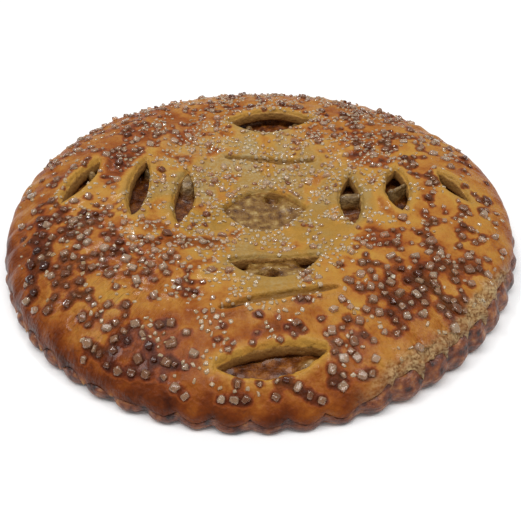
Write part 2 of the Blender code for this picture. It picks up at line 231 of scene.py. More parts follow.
# %% [markdown]
# ## The cuts
#
# Each cut is a lens: two bowed sides that meet in points. A cut bakes open where steam lifts the dough, and its
# edges puff into soft lips. Two of them have baked shut and are only creases.
#
# A Boolean could subtract the cuts, but it leaves long thin triangles and sharp edges. Here each cut is a measure
# of distance instead, which also says where its lip rises and where its wall goes down.

# %% Distances to the cuts
# far and near are half the width on each side, and turn is in degrees from +X.
Cut = namedtuple("Cut", "x y length far near turn")
OPEN_CUTS = {
    "back_outer": Cut(5.5, 48.0, 35.0, 6.4, 7.2, 3.0),
    "centre": Cut(1.8, -6.6, 29.4, 11.3, 11.2, 1.0),
    "front_inner": Cut(4.5, -35.7, 29.0, 1.6, 9.6, 4.0),
    "front_outer": Cut(2.6, -73.6, 31.0, 2.4, 5.4, 9.0),
    "left_outer": Cut(-62.5, 2.6, 28.0, 2.8, 2.8, 72.0),
    "left_middle": Cut(-41.9, 1.0, 34.0, 3.3, 3.0, 89.0),
    "left_inner": Cut(-26.6, -0.9, 31.0, 3.0, 3.6, 88.0),
    "right_inner": Cut(32.5, -4.6, 28.5, 4.2, 3.2, 87.0),
    "right_middle": Cut(48.9, -2.3, 25.0, 4.4, 3.6, 85.0),
    "right_outer": Cut(68.3, -2.0, 18.0, 2.8, 2.8, 112.0),
}
SHUT_CUTS = {
    "back_inner": Cut(4.4, 22.4, 33.0, 1.2, 1.2, -6.0),
    "front_middle": Cut(5.3, -54.5, 34.0, 1.0, 1.0, 13.0),
}
ALL_CUTS = {**OPEN_CUTS, **SHUT_CUTS}
LIP_WIDTH, LIP_HEIGHT = 4.5, 0.9


def to_cut(x, y, cut):
    """A place seen from the middle of a cut: how far along it, and how far across."""
    cos, sin = math.cos(math.radians(cut.turn)), math.sin(math.radians(cut.turn))
    dx, dy = x - cut.x, y - cut.y
    return dx * cos + dy * sin, dy * cos - dx * sin


def from_cut(along, across, cut):
    cos, sin = math.cos(math.radians(cut.turn)), math.sin(math.radians(cut.turn))
    return cut.x + along * cos - across * sin, cut.y + along * sin + across * cos


def half_width(cut, along, side):
    reach = np.minimum(np.abs(2.0 * along / cut.length), 1.0)
    return np.where(np.asarray(side) > 0, cut.far, cut.near) * (1.0 - reach**2.2)


def beyond(x, y, cut):
    """About how far a place is from a cut's edge, and negative inside it."""
    along, across = to_cut(x, y, cut)
    past_end = np.maximum(np.abs(along) - 0.5 * cut.length, 0.0)
    past_side = np.abs(across) - half_width(cut, along, across)
    outside = (past_end > 0) | (past_side > 0)
    return np.where(outside, np.hypot(past_end, np.maximum(past_side, 0.0)), past_side)


def nearest_cut(x, y, cuts=ALL_CUTS):
    return np.min([beyond(x, y, cut) for cut in cuts.values()], axis=0)


def owner(x, y):
    """The number of the open cut that each place is nearest to."""
    return np.argmin([beyond(x, y, cut) for cut in OPEN_CUTS.values()], axis=0)


def crown_height(x, y):
    """The lid's upper side: the dome, the lips round the cuts, and the uneven rise of baked dough."""
    lips = LIP_HEIGHT * np.exp(-((np.maximum(nearest_cut(x, y), 0.0) / LIP_WIDTH) ** 2))
    return dome_height(x, y) + lips + 0.55 * relief(x, y, 0.0, 13.0)


print("cuts:", len(OPEN_CUTS), "open and", len(SHUT_CUTS), "shut")

# %% [markdown]
# ## The lid as a mesh
#
# The lid has to be fine where the cuts and the flutes are and may be coarser between them. A regular grid can't do
# that, so its points are laid out on a flat disc first: rings of points round every cut, and an even field of
# points elsewhere. A Delaunay triangulation joins them. Each point then moves to its place on the dome, down the
# skirt or down the wall of a cut.
#
# On the disc, the distance from the centre is measured along the lid's surface, so the steep skirt gets its share.

# %% From the flat disc to the dome
SKIRT_END, DISC_END = 94.0, 99.0
QUARTER_TURN = math.pi / 2


def lean_of(flat_radius):
    """0 on the flat part of the lid, 1 where the skirt stands upright."""
    return np.clip((flat_radius - SHOULDER_RADIUS) / (SKIRT_END - SHOULDER_RADIUS), 0.0, 1.0)


def dome_radius(flat_radius, bearing):
    """The radius on the pie of a point on the disc."""
    outward = np.sin(lean_of(flat_radius) * QUARTER_TURN) ** (2.0 / SHOULDER_FALL)
    return np.minimum(flat_radius, SHOULDER_RADIUS) + (edge_radius(bearing) - SHOULDER_RADIUS) * outward


def disc_radius(radius, bearing):
    """The other way round."""
    outward = np.clip((radius - SHOULDER_RADIUS) / (edge_radius(bearing) - SHOULDER_RADIUS), 0.0, 1.0)
    lean = np.arcsin(outward ** (SHOULDER_FALL / 2.0)) / QUARTER_TURN
    return np.where(radius <= SHOULDER_RADIUS, radius, SHOULDER_RADIUS + lean * (SKIRT_END - SHOULDER_RADIUS))


def to_disc(x, y):
    bearing = bearing_of(x, y)
    return around(disc_radius(np.hypot(x, y), bearing), np.radians(bearing))


def lid_surface(flat_x, flat_y):
    """Where points of the disc lie on the baked lid."""
    flat, bearing = np.hypot(flat_x, flat_y), bearing_of(flat_x, flat_y)
    lean, radius = lean_of(flat), dome_radius(flat, bearing)
    top = crown_height(*around(radius, np.radians(bearing)))
    foot = seam_height(bearing) + GAP / 2
    z = foot + (top - foot) * np.cos(lean * QUARTER_TURN)
    fading = 1.0 - ease(0.0, SKIRT_FLUTE_RISE, z - foot)
    calmer = 1.0 - 0.75 * np.maximum(torn(bearing), lifted(bearing))
    pulled = SKIRT_FLUTE_DEPTH * fading * calmer * (1.0 - skirt_flute(bearing))
    # Past the lower edge the points turn in under the lid.
    under = np.clip((flat - SKIRT_END) / (DISC_END - SKIRT_END), 0.0, 1.0)
    return *around((radius - pulled) * (1.0 - under) + RIM_INNER * under, np.radians(bearing)), z, lean


print("the disc's skirt is", SKIRT_END - SHOULDER_RADIUS, "mm long")

# %% Points of the lid on the disc
FIELD_SPACING, RING_SPACING, JITTER = 0.8, 0.5, 0.1
OUTER_RINGS = (3.0, 2.1, 1.4, 0.9, 0.5, 0.2)  # how far outside a cut's edge each ring lies
WALL_RINGS, EDGE_POINTS = 7, 784
dots = random.Random(4)


def cut_outline(cut, seed):
    """The torn, slightly ragged outline of a cut, with the outward direction at each point."""
    steps = max(int(cut.length / RING_SPACING), 12)
    stations = np.linspace(-0.5, 0.5, steps + 1)[1:-1] * cut.length
    along = np.concatenate(([-0.5 * cut.length], stations, [0.5 * cut.length], stations[::-1]))
    side = np.concatenate(([-1.0], -np.ones(len(stations)), [1.0], np.ones(len(stations))))
    ragged = bumps(along, side * 40.0, 0.0, (0.32, 2.6, seed), (0.16, 0.9, seed))
    ragged *= 1.0 - np.abs(2.0 * along / cut.length) ** 6
    across = side * np.maximum(half_width(cut, along, side) + ragged, 0.0)
    ahead = np.stack([np.roll(along, -1) - np.roll(along, 1), np.roll(across, -1) - np.roll(across, 1)])
    ahead /= np.maximum(np.hypot(*ahead), 1e-6)
    return along, across, ahead[1], -ahead[0]


flat_points, wall_share, loops = [], [], []


def keep_points(flat_x, flat_y, share=0.0, closed=False):
    """Keeps points for the triangulation. A closed row of them bounds a hole, or the whole disc."""
    if closed:
        loops.append(len(flat_points) + np.arange(len(flat_x)))
    flat_points.extend(zip(flat_x, flat_y))
    wall_share.extend(np.broadcast_to(share, len(flat_x)))


for number, cut in enumerate(OPEN_CUTS.values()):
    along, across, out_along, out_across = cut_outline(cut, 7.0 * number)
    for away in OUTER_RINGS:
        keep_points(*to_disc(*from_cut(along + away * out_along, across + away * out_across, cut)))
    for ring in range(WALL_RINGS + 1):
        share = ring / WALL_RINGS
        shrink = 1.0 - 0.5 * share
        keep_points(*to_disc(*from_cut(along * shrink, across * shrink, cut)), share, ring == WALL_RINGS)

for cut in SHUT_CUTS.values():
    stations = np.arange(-0.5 * cut.length - 1.0, 0.5 * cut.length + 1.0, 0.45)
    along, across = np.meshgrid(stations, np.arange(-2.2, 2.3, 0.4))
    keep_points(*to_disc(*from_cut(along.ravel(), across.ravel(), cut)))

for number, row in enumerate(np.arange(-DISC_END, DISC_END, FIELD_SPACING * math.sqrt(0.75))):
    columns = np.arange(-DISC_END, DISC_END, FIELD_SPACING) + 0.5 * FIELD_SPACING * (number % 2)
    field_x = columns + np.array([dots.uniform(-JITTER, JITTER) for _ in columns])
    field_y = row + np.array([dots.uniform(-JITTER, JITTER) for _ in columns])
    flat, bearing = np.hypot(field_x, field_y), bearing_of(field_x, field_y)
    x, y = around(dome_radius(flat, bearing), np.radians(bearing))
    clear = (flat < DISC_END - 0.5) & (np.abs(flat - SKIRT_END) > 0.35)
    clear &= (nearest_cut(x, y, OPEN_CUTS) > OUTER_RINGS[0] + 0.4) & (nearest_cut(x, y, SHUT_CUTS) > 1.6)
    keep_points(field_x[clear], field_y[clear])

turn = np.linspace(0.0, 2.0 * math.pi, EDGE_POINTS, endpoint=False)
keep_points(*around(SKIRT_END, turn))
keep_points(*around(DISC_END, turn), closed=True)
flat_points, wall_share = np.array(flat_points), np.array(wall_share)
print("points of the lid's upper side:", len(flat_points))

# %% Join the points and lift them to the dome
HOLE_REACH = 30.0  # no cut is longer than twice this


def is_inside(px, py, loop):
    """Which points lie inside a closed row of points: an odd number of its edges is crossed on the way out."""
    ax, ay, bx, by = *loop.T, *np.roll(loop, -1, axis=0).T
    crossed = (ay[:, None] > py) != (by[:, None] > py)
    level = np.where(by == ay, 1.0, by - ay)[:, None]
    return (crossed & (px < ax[:, None] + (bx - ax)[:, None] * (py - ay[:, None]) / level)).sum(0) % 2 == 1


def join(points, rows):
    """Triangles of a flat set of points, without those inside the holes. The last row is the outer one."""
    edges = [(int(a), int(b)) for row in rows for a, b in zip(row, np.roll(row, -1))]
    found = delaunay_2d_cdt([Vector(p) for p in points], edges, [], 0, 1e-7)
    origin = np.array([origins[0] if origins else -1 for origins in found[3]])
    faces = origin[np.array(found[2])]
    middle = points[faces].mean(axis=1)
    kept = (faces >= 0).all(axis=1)
    for row in rows[:-1]:
        near = (np.abs(middle - points[row].mean(axis=0)) < HOLE_REACH).all(axis=1)
        kept[near] &= ~is_inside(*middle[near].T, points[row])
    return faces[kept]


triangles = join(flat_points, loops)
x, y, z, lean = lid_surface(*flat_points.T)
on_wall = wall_share > 0.0
open_distance = nearest_cut(x, y, OPEN_CUTS)
bearing = bearing_of(x, y)
print("triangles of the lid's upper side:", len(triangles))

# %% [markdown]
# ## Shape the lid's surface
#
# Close up, baked puff pastry is blistered, its cut edges are round and swollen, and the walls of the cuts show thin
# layers. Where the edge has torn it is ragged, and crumb hangs down in little points. All of this is added to the
# height of the points, from noise with bumps of a few millimetres. A Displace modifier could do the blisters, but
# not the edges, which need to know where the cuts are.

# %% Blisters, lips and creases
# Each layer of bumps has its height and size in millimetres, and a seed.
z += bumps(x, y, z, (0.45, 6.0, 3.0), (0.16, 2.6, 9.0), (0.07, 1.2, 5.0)) * (1.0 - 0.6 * ease(0.5, 1.0, lean))
granular = 1.0 - ease(26.0, 52.0, np.hypot(x, y))
z += granular * bumps(x, y, z, (0.42, 2.2, 41.0), (0.55, 7.5, 43.0))
# The edge of an open cut rolls down into it.
LIP_ROLL = 1.5
z -= LIP_ROLL * np.exp(-((np.maximum(open_distance, 0.0) / 0.75) ** 2)) * (~on_wall) * (open_distance < 4.0)
z -= LIP_ROLL * on_wall
# The shut cuts are narrow creases between two low welts.
crease = np.minimum.reduce([beyond(x, y, cut) for cut in SHUT_CUTS.values()])
z -= 1.7 * np.exp(-((np.maximum(crease, 0.0) / 0.55) ** 2))
z += 0.45 * np.exp(-(((crease - 2.4) / 1.2) ** 2))
print("lid height:", round(z.min(), 1), "to", round(z.max(), 1), "mm")

# %% Walls of the cuts
def under_height(x, y, foot):
    """The height of the lid's underside."""
    reach = np.clip((np.hypot(x, y) - UNDER_SHOULDER) / (RIM_INNER - UNDER_SHOULDER), 0.0, 1.0)
    return foot + (dome_height(x, y) - LID_THICKNESS - foot) * np.sqrt(1.0 - reach**SHOULDER_FALL)


LEAST_WALL = 2.4
owners = owner(x, y)
for number, cut in enumerate(OPEN_CUTS.values()):
    here = on_wall & (owners == number)
    share = wall_share[here]
    along, across = (side / (1.0 - 0.5 * share) for side in to_cut(x[here], y[here], cut))
    # The wall leans in a little, and its thin layers make it wavy.
    layers = 0.008 * np.sin(share * 19.0 + 3.0 * relief(along, across, share, 6.0))
    narrower = 1.0 - 0.035 * share + layers + 0.03 * relief(along, across, 3.0 * share, 3.2)
    x[here], y[here] = from_cut(along * (1.0 - 0.01 * share), across * narrower, cut)
    rim_z = lid_surface(*to_disc(*from_cut(along, across, cut)))[2] - LIP_ROLL
    floor_z = under_height(x[here], y[here], seam_height(bearing[here]))
    z[here] = rim_z + (np.minimum(floor_z, rim_z - LEAST_WALL) - rim_z) * share
print("points on the walls of the cuts:", int(on_wall.sum()))

# %% The torn edge
# The skin ends in a wavy margin. Below it pale crumb shows, set back, full of pores and hanging in points.
taper = ease(66.0, 40.0, bearing) * ease(14.0, 40.0, bearing)
torn_margin = 0.80 - 0.12 * taper + bumps(x, y, 0.0, (0.14, 10.0, 17.0), (0.06, 3.5, 18.0))
on_skirt = np.hypot(*flat_points.T) < DISC_END - 0.2
exposed = torn(bearing) * ease(-0.01, 0.05, lean - torn_margin) * on_skirt
edge_share = ease(0.84, 1.0, lean) * on_skirt
between_flutes = 1.0 - flute(bearing)
pores = relief(x, y, z, 1.7, 21.0)
points_down = np.maximum(between_flutes**3 * (0.8 + 1.6 * relief(x, y, 0.0, 9.0, 31.0)), 0.0)
z += torn(bearing) * edge_share * (relief(x, y, z, 3.0, 21.0) - 4.2 * points_down)
z -= hanging(bearing) * edge_share * 1.5 * between_flutes**2
outward = exposed * (-0.8 + 0.45 * pores + 1.8 * points_down) + 0.3 * edge_share * relief(x, y, z, 3.0, 8.0)
stretch = 1.0 + outward / np.maximum(np.hypot(x, y), 1.0)
x, y = x * stretch, y * stretch
print("share of the lid's points on torn crumb:", round(float((exposed > 0.5).mean()), 3))

# %% [markdown]
# ## Close the lid from below
#
# The underside is never seen, but a lid is a slab of dough and not a sheet of paper. A second, coarse triangulation
# joins the bottom ends of the cut walls and the lower edge, so the mesh is closed. A Solidify modifier would close
# it too, with twice the triangles and with folds in the narrow cuts.

# %% Underside of the lid
FLAT_UNDER = 78.0  # from here to the edge the disc's points are drawn in under the rim
grid_x, grid_y = (g.ravel() for g in np.meshgrid(np.arange(-96.0, 96.1, 5.0), np.arange(-96.0, 96.1, 5.0)))
clear = (np.hypot(grid_x, grid_y) < DISC_END - 3.0) & (nearest_cut(grid_x, grid_y, OPEN_CUTS) > 0.8)
grid_x, grid_y = grid_x[clear], grid_y[clear]
loop_index = np.concatenate(loops)
starts = np.cumsum([0] + [len(row) for row in loops])
low_rows = [start + np.arange(len(row)) for start, row in zip(starts, loops)]
low_faces = join(np.concatenate([flat_points[loop_index], np.stack([grid_x, grid_y], 1)]), low_rows)
low_faces = np.concatenate([loop_index, len(x) + np.arange(len(grid_x))])[low_faces][:, ::-1]
radius = np.hypot(grid_x, grid_y)
drawn_in = np.interp(radius, (0.0, FLAT_UNDER, DISC_END), (0.0, FLAT_UNDER, RIM_INNER)) / np.maximum(radius, 1e-6)
low_x, low_y = grid_x * drawn_in, grid_y * drawn_in
low_z = under_height(low_x, low_y, seam_height(bearing_of(low_x, low_y)))

lid_points = np.concatenate([np.stack([x, y, z], 1), np.stack([low_x, low_y, low_z], 1)])
lid = mesh_object("pie_lid", lid_points, np.concatenate([triangles, low_faces]))
check_closed(lid)

# %% [markdown]
# ## The filling
#
# Only what shows through the cuts needs detail. The filling is one closed body whose upper side follows the lid
# from below and rises into each cut: level with the lid in the middle, and deep down in the outer cuts, where
# steam has hollowed it out. Chunks of cooked apple make rounded lumps, and here and there a film of dough or syrup
# bridges a cut. Its points are fine under the cuts and coarse elsewhere, joined as those of the lid are.

# %% How deep the filling lies in each cut
DEPTHS = {
    "back_outer": 7.0, "centre": 1.3, "front_inner": 1.8, "front_outer": 6.4, "left_outer": 6.0,
    "left_middle": 8.0, "left_inner": 6.5, "right_inner": 6.5, "right_middle": 7.0, "right_outer": 6.0,
}
# Films and holes: along, across, radius, how much the filling is higher there.
FILMS = {
    "centre": ((-6.5, 5.0, 6.5, 0.6), (3.0, 8.6, 2.6, -3.6), (7.0, -4.0, 6.0, -1.0)),
    "front_inner": ((-2.5, -5.0, 2.8, -4.0), (10.0, -0.6, 2.6, -4.5), (-11.0, 0.0, 2.4, -3.5)),
    "front_outer": ((10.5, -4.6, 4.6, 3.0),),
    "left_inner": ((13.0, 0.0, 6.5, 5.4),),
    "right_inner": ((3.4, -3.0, 2.2, 5.8), (3.4, 0.0, 2.2, 5.8), (3.4, 3.0, 2.2, 5.8)),
    "right_middle": ((0.6, 2.2, 1.9, 5.8), (2.4, -0.4, 1.6, 5.8), (4.2, -2.6, 1.6, 5.8)),
    "left_outer": ((7.5, 0.0, 1.6, 5.0),),
    "left_middle": ((15.5, -1.0, 2.6, 5.0),),
    "right_outer": ((-6.5, 0.0, 2.2, 3.0),),
    "back_outer": ((-9.0, 3.0, 2.0, 3.0), (11.0, 3.0, 2.4, 3.0)),
}
print("deepest filling:", max(DEPTHS.values()), "mm")

# %% Points of the filling
BODY_RADIUS = TRAY_RADIUS - TRAY_CORNER - 2.0 * GAP
COARSE_STEP, FINE_STEP, FINE_MARGIN, RING_POINTS = 3.0, 0.5, 4.0, 240
steps = np.arange(-BODY_RADIUS, BODY_RADIUS, COARSE_STEP)
spread_dots = [(i + dots.uniform(-0.3, 0.3), j + dots.uniform(-0.3, 0.3)) for j in steps for i in steps]
spread_dots = np.array(spread_dots)
away = nearest_cut(*spread_dots.T, OPEN_CUTS)
body_dots = [np.stack(around(BODY_RADIUS, np.linspace(0.0, 2.0 * math.pi, RING_POINTS, endpoint=False)), 1)]
body_dots.append(spread_dots[(np.hypot(*spread_dots.T) < BODY_RADIUS - 1.5) & (away > 4.6)])
for number, cut in enumerate(OPEN_CUTS.values()):
    stations = np.arange(-0.5 * cut.length - FINE_MARGIN, 0.5 * cut.length + FINE_MARGIN, FINE_STEP)
    along, across = np.meshgrid(stations, np.arange(-cut.near - FINE_MARGIN, cut.far + FINE_MARGIN, FINE_STEP))
    near_x, near_y = from_cut(along.ravel(), across.ravel(), cut)
    close = (beyond(near_x, near_y, cut) < 4.2) & (np.hypot(near_x, near_y) < BODY_RADIUS - 0.4)
    close &= owner(near_x, near_y) == number
    body_dots.append(np.stack([near_x[close], near_y[close]], 1))
cells = delaunay_2d_cdt([Vector(p) for p in np.concatenate(body_dots)], [], [], 0, 1e-6)
fx, fy = np.array([tuple(v) for v in cells[0]]).T
on_ring = np.array([origins[0] for origins in cells[3]]) < RING_POINTS
print("points of the filling:", len(fx))

# %% Raise the filling into the cuts
APPLE_CHUNK = 6.5
lowest_seam = SEAM_HEIGHT - SEAM_WAVE
fz = under_height(fx, fy, lowest_seam) - 2.0 * GAP
film_share, depth_share = np.zeros(len(fx)), np.zeros(len(fx))
chunk = np.array([noise.voronoi(Vector((a / APPLE_CHUNK, b / APPLE_CHUNK, 0.0)))[0][0] for a, b in zip(fx, fy)])
lumps = 1.5 * (0.45 - chunk) + 0.35 * relief(fx, fy, 0.0, 2.2, 4.0)
for name, cut in OPEN_CUTS.items():
    away = beyond(fx, fy, cut)
    along, across = to_cut(fx, fy, cut)
    film = sum(rise * np.exp(-((np.hypot(along - a, across - b) / size) ** 4)) for a, b, size, rise in FILMS[name])
    depth = np.maximum(DEPTHS[name] - film, 0.7)
    raised = dome_height(fx, fy) - depth + lumps * (0.6 + 0.4 * ease(0.6, 3.5, depth))
    spread = ease(3.0, 6.0, depth)
    reach = 1.0 - ease(0.1 + 1.2 * spread, 0.5 + 3.2 * spread, away)
    fz = np.where(away < 4.3, fz * (1.0 - reach) + np.minimum(raised, dome_height(fx, fy) - 0.4) * reach, fz)
    film_share = np.maximum(film_share, ease(1.8, 3.4, film) * reach)
    # How deep the filling lies here; its material paints shade by this number.
    depth_share = np.maximum(depth_share, ease(1.5, 7.5, depth) * reach)
fz = np.where(on_ring, lowest_seam, np.maximum(fz, FLOOR_THICKNESS + 1.2))
print("filling height:", round(fz.min(), 1), "to", round(fz.max(), 1), "mm")

# %% Close the filling with a side and a bottom
ring_index = np.where(on_ring)[0]
ring_index = ring_index[np.argsort(np.arctan2(fx[ring_index], -fy[ring_index]))]
count, around_count = len(fx), len(ring_index)
low = np.stack([fx[ring_index], fy[ring_index], np.full(around_count, FLOOR_THICKNESS + GAP)], 1)
sides = [
    (int(ring_index[i - 1]), count + (i - 1) % around_count, count + i, int(ring_index[i])) for i in range(around_count)
]
bottom = tuple(count + i for i in reversed(range(around_count)))
filling_points = np.concatenate([np.stack([fx, fy, fz], 1), low])
filling = mesh_object("apple_filling", filling_points, [*map(tuple, cells[2]), *sides, bottom])
check_closed(filling, turn_out=True)
for name, values in (("film", film_share), ("depth", depth_share)):
    paint(filling, name, np.concatenate([values, np.zeros(around_count)]))

# %% [markdown]
# ## The base crust
#
# The base is a shallow tray of dough, pressed into a fluted shape. Its section is turned round the axis with a
# Screw modifier. The flutes follow a rule, so Geometry Nodes press them in: each point of the wall moves inwards by
# an amount that repeats 56 times round the pie, and a little noise keeps the flutes from being alike.

# %% Turn the tray
FLAT_WALL = 5.0  # the wall's height before the seam gives it its own
OWN_HEIGHT = -1.0  # marks a point that doesn't follow the seam
WALL_PROFILE = (
    (89.2, 1.0), (89.6, 0.86), (89.9, 0.7), (90.0, 0.52), (89.9, 0.34), (89.6, 0.18), (89.0, 0.06), (87.6, 0.0),
)  # radius, share of the wall's height
# Each point of the section: radius, height, whether it is on the wall, and its share of the seam's height.
section = [(r, FLOOR_THICKNESS, 0.0, OWN_HEIGHT) for r in (0.0, 40.0, TRAY_RADIUS - TRAY_CORNER)]
section += [(r, FLAT_WALL, 0.0, 1.0) for r in (TRAY_RADIUS, 85.5)]
section += [(r, FLAT_WALL * share, 1.0, share) for r, share in WALL_PROFILE]
section += [(r, 0.0, 0.0, OWN_HEIGHT) for r in (60.0, 0.0)]
mesh = bpy.data.meshes.new("base_crust_baked")
mesh.from_pydata([(r * MM, 0.0, h * MM) for r, h, _, _ in section], [(i, i + 1) for i in range(len(section) - 1)], [])
for name, column in (("wall", 2), ("share", 3)):
    mesh.attributes.new(name, "FLOAT", "POINT").data.foreach_set("value", [point[column] for point in section])
base = put("base_crust_baked", mesh)
screw = base.modifiers.new("Turn", "SCREW")
screw.steps = screw.render_steps = FLUTES * 12
screw.use_merge_vertices, screw.merge_threshold = True, 0.05 * MM


def as_mesh(thing):
    """Applies an object's modifiers."""
    seen = bpy.context.evaluated_depsgraph_get()
    seen.update()
    made = bpy.data.meshes.new_from_object(thing.evaluated_get(seen))
    thing.modifiers.clear()
    thing.data = made
    thing.data.shade_smooth()


as_mesh(base)
print("points of the base:", len(base.data.vertices))

# %% Let the wall meet the wavy seam
count = len(base.data.vertices)
co, wall, share = np.zeros(count * 3), np.zeros(count), np.zeros(count)
base.data.vertices.foreach_get("co", co)
for name, values in (("wall", wall), ("share", share)):
    base.data.attributes[name].data.foreach_get("value", values)
co = co.reshape(-1, 3) / MM
rim = seam_height(bearing_of(co[:, 0], co[:, 1])) - GAP / 2
height = np.where(share > 0.5 * OWN_HEIGHT, share * rim, co[:, 2])
leaning = np.where(wall > 0.5, WALL_LEAN * np.maximum(height - SEAM_HEIGHT, 0.0), 0.0)
co[:, :2] *= (1.0 - leaning / np.maximum(np.hypot(co[:, 0], co[:, 1]), 1.0))[:, None]
co[:, 2] = height
base.data.vertices.foreach_set("co", (co * MM).ravel())
print("wall height:", round(rim.min(), 1), "to", round(rim.max(), 1), "mm")

# %% Helpers for Geometry Nodes
def geometry_tree(name, kinds):
    """Starts a tree with a mesh in, a mesh out and named inputs of the given kinds."""
    tree = bpy.data.node_groups.new(name, "GeometryNodeTree")
    sockets = {
        key: tree.interface.new_socket(key, in_out="INPUT", socket_type="NodeSocket" + kind)
        for key, kind in {"Geometry": "Geometry", **kinds}.items()
    }
    tree.interface.new_socket("Geometry", in_out="OUTPUT", socket_type="NodeSocketGeometry")
    return tree, sockets, add(tree, "NodeGroupInput", out=None)


def run_tree(thing, tree, sockets, values):
    """Lets a tree remake an object's mesh. Each input is set by its socket's identifier."""
    modifier = thing.modifiers.new(tree.name, "NODES")
    modifier.node_group = tree
    for key, value in values.items():
        modifier[sockets[key].identifier] = value
    as_mesh(thing)
    print(thing.name, "triangles:", sum(len(f.vertices) - 2 for f in thing.data.polygons))


# %% Press the flutes into the wall
FLUTE_INPUTS = {
    "Flutes": float(FLUTES), "Depth": 1.6 * FLUTE_DEPTH * MM, "First Notch": math.radians(NOTCH_BEARING),
    "Unevenness": 0.8 * MM, "Bump Size": 6.0 * MM,
}
tree, sockets, given = geometry_tree("Press flutes", dict.fromkeys(FLUTE_INPUTS, "Float"))
place = add(tree, "GeometryNodeInputPosition")
px, py, _ = add(tree, "ShaderNodeSeparateXYZ", {0: place}, out=None)
# The notches lie where the sine of half a flute's turn is zero.
backwards = add(tree, "ShaderNodeMath", {0: py, 1: -1.0}, operation="MULTIPLY")
angle = add(tree, "ShaderNodeMath", {0: px, 1: backwards}, operation="ARCTAN2")
from_notch = add(tree, "ShaderNodeMath", {0: angle, 1: given["First Notch"]}, operation="SUBTRACT")
half_turns = add(tree, "ShaderNodeMath", {0: given["Flutes"], 1: 0.5}, operation="MULTIPLY")
phase = add(tree, "ShaderNodeMath", {0: from_notch, 1: half_turns}, operation="MULTIPLY")
wave = add(tree, "ShaderNodeMath", {0: phase}, operation="SINE")
crest = add(tree, "ShaderNodeMath", {0: wave}, operation="ABSOLUTE")
notch = add(tree, "ShaderNodeMath", {0: 1.0, 1: crest}, operation="SUBTRACT")
# Noise makes some notches deeper than others, and the wall uneven.
fineness = add(tree, "ShaderNodeMath", {0: 1.0, 1: given["Bump Size"]}, operation="DIVIDE")
patchy = add(tree, "ShaderNodeTexNoise", {"Vector": place, "Scale": fineness, "Detail": 2.0})
deeper = add(tree, "ShaderNodeMath", {0: patchy, 1: given["Depth"]}, operation="MULTIPLY")
pressed = add(tree, "ShaderNodeMath", {0: notch, 1: deeper}, operation="MULTIPLY")
uneven = add(tree, "ShaderNodeMath", {0: patchy, 1: given["Unevenness"]}, operation="MULTIPLY")
total = add(tree, "ShaderNodeMath", {0: pressed, 1: uneven}, operation="ADD")
# Only the wall moves, straight towards the axis.
wall_only = add(tree, "GeometryNodeInputNamedAttribute", {"Name": "wall"}, data_type="FLOAT")
inwards = add(tree, "ShaderNodeMath", {0: total, 1: wall_only}, operation="MULTIPLY")
reverse = add(tree, "ShaderNodeMath", {0: inwards, 1: -1.0}, operation="MULTIPLY")
level = add(tree, "ShaderNodeCombineXYZ", {0: px, 1: py})
direction = add(tree, "ShaderNodeVectorMath", {0: level}, operation="NORMALIZE")
offset = add(tree, "ShaderNodeVectorMath", {0: direction, "Scale": reverse}, operation="SCALE")
moved = add(tree, "GeometryNodeSetPosition", {"Geometry": given["Geometry"], "Offset": offset})
whole = add(tree, "GeometryNodeRealizeInstances", {"Geometry": moved})
base_finish = bpy.data.materials.new("dark baked base dough")
finished = add(tree, "GeometryNodeSetMaterial", {"Geometry": whole, "Material": base_finish})
add(tree, "NodeGroupOutput", {"Geometry": finished}, out=None)
run_tree(base, tree, sockets, FLUTE_INPUTS)

# %% [markdown]
# ## The sugar
#
# Crushed sugar is blunt blocks, here with edges of 0.7 to 3.1 mm. They fell unevenly: thickly on the left and in
# patches, and hardly at all on some of the front edge. Geometry Nodes could scatter points for them, but the first
# 235 have to lie where the solid lid has its crystals. So one rule drops them one by one, refuses places that are
# too near another crystal or a cut, and then rests each on the lid.

# %% Where the sugar lies
# Each patch: x, y, radius in millimetres, and how much thicker the sugar fell there.
COARSE_PATCHES = (
    (-62, -30, 20, 0.9), (-44, -36, 18, 0.5), (-66, -48, 9, 1.2), (-42, -70, 7, 1.2), (-31, -71, 6.5, 2.5),
    (-22, -80, 5, 1.2), (-9, -83, 8, 1.2), (12, -81, 6, 2.5), (27, -74, 7, 1.6), (26, -64, 8, 1.4), (44, -54, 8, 2.0),
    (56, -50, 12, 0.9), (34, -45, 9, 0.9), (66, -22, 16, 0.6), (57, 39, 24, 0.8), (-50, 38, 24, 0.5), (2, 8, 26, 0.4),
)
CLUSTERS = (
    (-42, -72, 5, 1.0), (-31, -71, 6, 2.0), (-22, -80, 3.5, 1.0), (-10, -84, 5, 1.2), (-68, -50, 6, 1.2),
    (12, -81, 5, 2.0), (27, -75, 5, 1.2), (25, -66, 6, 1.2), (44, -54, 6, 2.0), (54, -43, 5, 1.0), (66, -41, 5, 1.2),
    (35, -45, 7, 1.2), (-60, -26, 12, 0.7), (-36, -42, 9, 0.6), (15, -44, 4, 0.8),
)
MEDIUM_PATCHES = (
    (-60, -26, 22, 1.0), (-34, -34, 18, 0.9), (-54, 14, 20, 0.5), (-44, 46, 26, 0.9), (0, 10, 30, 0.6),
    (48, -38, 18, 0.5), (24, -66, 9, 1.0), (54, 40, 30, 1.0), (-6, 72, 30, 0.8), (6, -64, 12, 0.5),
    (70, -10, 16, 0.4), (8, -28, 12, 0.6),
)
FINE_PATCHES = (
    (0, 18, 26, 1.0), (6, -26, 18, 0.6), (-26, -16, 18, 0.7), (26, 14, 22, 0.7), (-14, -58, 14, 0.35),
    (16, 60, 30, 0.3),
)
Grain = namedtuple("Grain", "x y edges spin tilt")
grains = []


